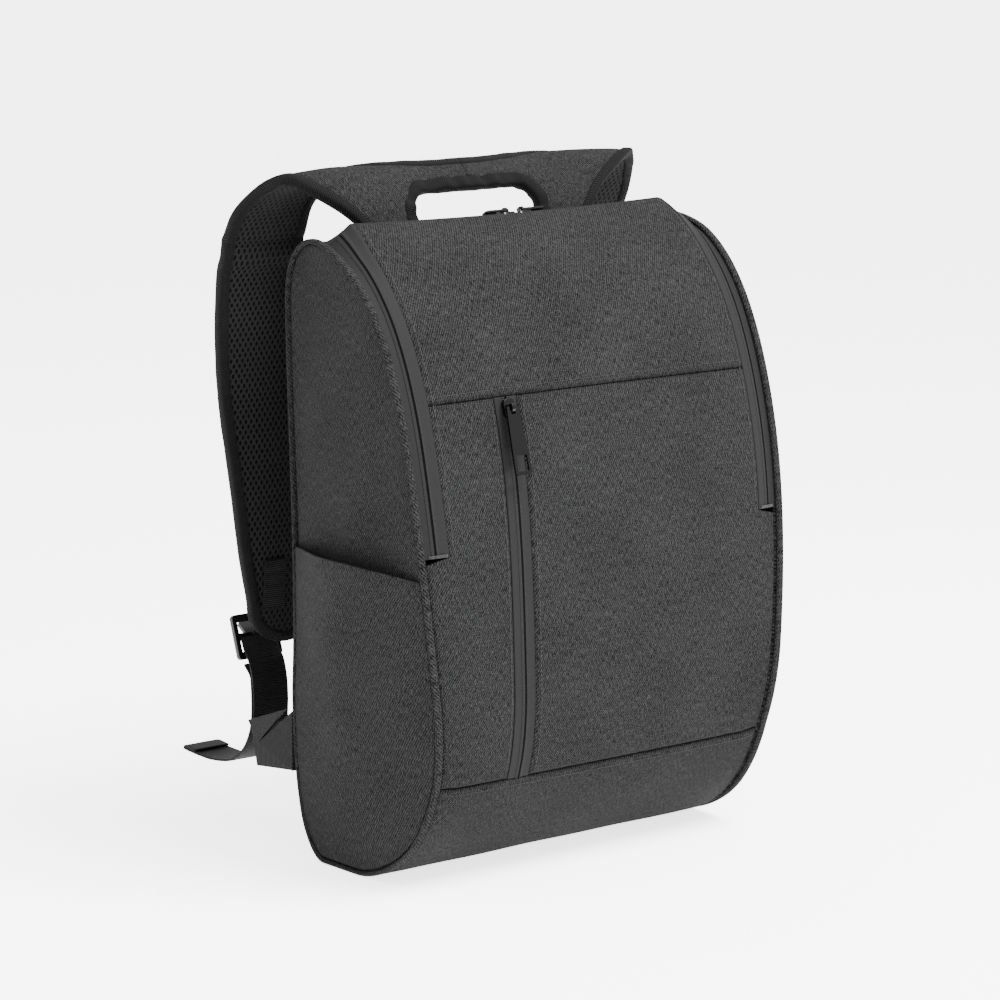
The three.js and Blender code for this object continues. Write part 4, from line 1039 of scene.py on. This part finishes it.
def web_strip(name, side, path, width=WEB_WIDTH, cuts=10):
    """A strip along points of depth, height and distance from the middle of the pack."""
    line = through(np.array(path), cuts)
    along = np.gradient(line[:, :2], axis=0)
    along /= np.linalg.norm(along, axis=1)[:, None]
    length = np.concatenate([[0], np.cumsum(np.linalg.norm(np.diff(line, axis=0), axis=1))])
    columns = width * (np.array([0, 0.02, 0.06, 0.15, 0.3, 0.5, 0.7, 0.85, 0.94, 0.98, 1]) - 0.5)

    def place(column, row, depth):
        station = np.rint(row).astype(int)
        low = WEB_THICK / 2 - 0.25 * MM * (np.abs(column) / (width / 2)) ** 8 - depth
        y = line[station, 0] + along[station, 1] * low
        z = line[station, 1] - along[station, 0] * low
        return np.stack([side * (line[station, 2] + column), y, z], axis=-1), column, length[station]

    piece = sewn(name, columns, np.arange(len(line)), place, webbing)
    thicken(piece, WEB_THICK)
    return piece


STRAP_FOOT = SEAT_Z - STRAP_DROP
LOCK_Y = BACK + STRAP_BACK + 10 * MM
LOCK_Z = STRAP_FOOT + 4 * MM
ROOT_X = HALF_WIDTH + 0.6 * MM - WEB_THICK - 0.6 * MM - WEB_WIDTH / 2
WEB_TOP = LOCK_Y - 3.05 * MM
WEB_FOOT = 66 * MM
# down from the lock, forward to the side's plane and out to the root, as shares of each
web_drop = ((0, 0, 0), (0.11, 0.18, 0.1), (0.23, 0.5, 0.25), (0.39, 0.75, 0.5), (0.57, 0.91, 0.75),
            (0.77, 0.98, 0.95), (1, 1, 1))
# back behind the webbing's foot, down to the lowest point and out to the root
tail_run = ((0.224, 0, 0.25), (0.137, 0.08, 0.3), (0.085, 0.16, 0.5), (0.036, 0.32, 0.75),
            (0.013, 0.5, 0.95), (0.05, 0.66, 1), (0.15, 0.82, 1), (0.33, 0.95, 1), (0.59, 1, 1),
            (0.81, 1, 1), (1.0, 0.985, 1), (1.025, 0.972, 1), (1.0, 0.955, 1), (0.86, 0.968, 1))
WEB_SLANT = 27 * MM
TAIL_TOP, TAIL_LOW, TAIL_REACH = LOCK_Z - 18 * MM, 47 * MM, 83 * MM


def sideways(out):
    return LOCK_X + (ROOT_X - LOCK_X) * out


for side, hand in ((-1, "left"), (1, "right")):
    run = [(WEB_TOP - forward * WEB_SLANT, LOCK_Z + (WEB_FOOT - LOCK_Z) * down, sideways(out))
           for down, forward, out in web_drop]
    fit(web_strip(f"webbing_run_{hand}", side, run), "webbing", f"webbing_{hand}")
    start = WEB_TOP - WEB_SLANT + WEB_THICK + 0.3 * MM
    loose = [(start + back * TAIL_REACH, TAIL_TOP + (TAIL_LOW - TAIL_TOP) * down, sideways(out))
             for back, down, out in tail_run]
    fit(web_strip(f"webbing_end_{hand}", side, loose), "webbing", f"webbing_tail_{hand}")


# Fittings
# Ladder locks of black acetal, glossy black zip sliders and pulls, and the short pieces of
# webbing and twill that anchor the straps. Every hard edge is a little rounded.
def flat_webbing(name, across_share, along_share):
    finish = Finish(name, roughness=0.62, specular_ior_level=0.07)
    _, back, up = finish.place()
    rib = (back * across_share + up * along_share).wave(1.5 * MM)
    yarn = (back * along_share + up * -across_share).wave(0.9 * MM)
    tone = rib * 0.6 + yarn * 0.3 + finish.noise(finish.point(back, up), 900.0) * 0.3 - 0.15
    finish.colour(finish.shade(tone.between(0.0, 1.0), grey(0.0006), grey(0.006)))
    finish.relief(rib + yarn * 0.4, 0.3 * MM)
    return finish.material


def tab_twill():
    finish = Finish("tab_twill", roughness=0.9, specular_ior_level=0.04)
    _, back, up = finish.place()
    rib = (back * 0.83 + up * -0.56).wave(TWILL_PITCH)
    streak = finish.noise(finish.point(back * (1 / YARN), up * (0.12 / YARN)), 1.0, 3.0, 0.7)
    tone = streak * 0.8 + rib * 0.4 - 0.1
    finish.colour(finish.shade(tone.between(0.1, 1.02), CLOTH_DARK, CLOTH_LIGHT))
    finish.relief(rib, 0.28 * MM, 0.8)
    return finish.material


def moulded(name, level, roughness):
    finish = Finish(name, roughness=roughness, specular_ior_level=0.16)
    right, back, up = finish.place()
    mottle = finish.noise(finish.point(right + back, up), 300.0)
    finish.colour(finish.shade(mottle, grey(level), grey(level * 1.5)))
    finish.relief(mottle, 0.02 * MM)
    return finish.material


def eased_part(node, name, material, slot, edge, body="pack"):
    """The frame's own shape with its edges rounded."""
    bm = bmesh.new()
    bm.from_mesh(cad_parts[node].data)
    bmesh.ops.remove_doubles(bm, verts=bm.verts, dist=0.01 * MM)
    bmesh.ops.dissolve_limit(bm, angle_limit=0.02, verts=bm.verts, edges=bm.edges)
    mesh = bpy.data.meshes.new(name)
    bm.to_mesh(mesh)
    bm.free()
    if "custom_normal" in mesh.attributes:
        mesh.attributes.remove(mesh.attributes["custom_normal"])
    mesh.materials.clear()
    mesh.materials.append(material)
    mesh.shade_smooth()
    piece = bpy.data.objects.new(name, mesh)
    bpy.context.scene.collection.objects.link(piece)
    bevel = piece.modifiers.new("edges", "BEVEL")
    bevel.width, bevel.segments, bevel.limit_method = edge, 3, "ANGLE"
    bevel.angle_limit = math.radians(30)
    bevel.harden_normals = True
    fit(piece, slot, node, body=body)


lock_plastic = moulded("lock_plastic", 0.0012, 0.38)
slider_metal = moulded("slider_metal", 0.0005, 0.16)
root_webbing = flat_webbing("root_webbing", 1, 0)
fold_webbing = flat_webbing("fold_webbing", 0.72, 0.7)
loop_webbing = flat_webbing("loop_webbing", 0, 1)
twill_tab = tab_twill()
for hand in ("left", "right"):
    eased_part(f"ladder_lock_{hand}", f"lock_{hand}", lock_plastic, "buckle", 0.6 * MM)
    eased_part(f"lock_loop_{hand}", f"lock_webbing_{hand}", loop_webbing, "webbing", 0.3 * MM)
    eased_part(f"strap_patch_{hand}", f"patch_webbing_{hand}", loop_webbing, "webbing", 0.3 * MM)
    eased_part(f"webbing_root_{hand}", f"root_cloth_{hand}", root_webbing, "webbing", 0.3 * MM)
    eased_part(f"webbing_fold_{hand}", f"fold_cloth_{hand}", fold_webbing, "webbing", 0.3 * MM)
    eased_part(f"anchor_tab_{hand}", f"tab_cloth_{hand}", twill_tab, "shell_cloth", 0.3 * MM)
    eased_part(f"edge_loop_{hand}", f"loop_cloth_{hand}", loop_webbing, "webbing", 0.4 * MM)
for zip_name in ("front", "main_left", "main_right"):
    slider, pull = f"{zip_name}_slider", f"{zip_name}_pull"
    eased_part(slider, f"{slider}_metal", slider_metal, "black_metal", 0.35 * MM)
    eased_part(pull, f"{pull}_metal", slider_metal, "black_metal", 0.35 * MM, pull)


# Floor and light
# A plain pale floor, a large soft key over the front, a fill on the left and a white room.
FLOOR_GLOW = 2.6


def plain_floor():
    bm = bmesh.new()
    bmesh.ops.create_grid(bm, x_segments=1, y_segments=1, size=20)
    mesh = bpy.data.meshes.new("floor")
    bm.to_mesh(mesh)
    bm.free()
    paper = Finish("floor", base_color=(*grey(0.9), 1), roughness=0.8, emission_color=(1, 1, 1, 1))
    paper.feed(paper.surface.inputs["Emission Strength"], FLOOR_GLOW)
    mesh.materials.append(paper.material)
    floor = bpy.data.objects.new("floor", mesh)
    bpy.context.scene.collection.objects.link(floor)


def soft_light(name, place, aim, size, power):
    data = bpy.data.lights.new(name, "AREA")
    data.energy, data.size = power, size
    light = bpy.data.objects.new(name, data)
    light.location = place
    light.rotation_euler = (Vector(place) - Vector(aim)).to_track_quat("Z", "Y").to_euler()
    bpy.context.scene.collection.objects.link(light)


plain_floor()
world = bpy.data.worlds.new("white_room")
world.use_nodes = True
world.node_tree.nodes["Background"].inputs["Color"].default_value = (1, 1, 1, 1)
world.node_tree.nodes["Background"].inputs["Strength"].default_value = 2.6
bpy.context.scene.world = world
soft_light("key", (0.5, -1.2, 2.3), (0, 0, 0.25), 1.2, 260)
soft_light("fill", (-2.2, -0.6, 0.9), (0, 0, 0.2), 1.5, 14)
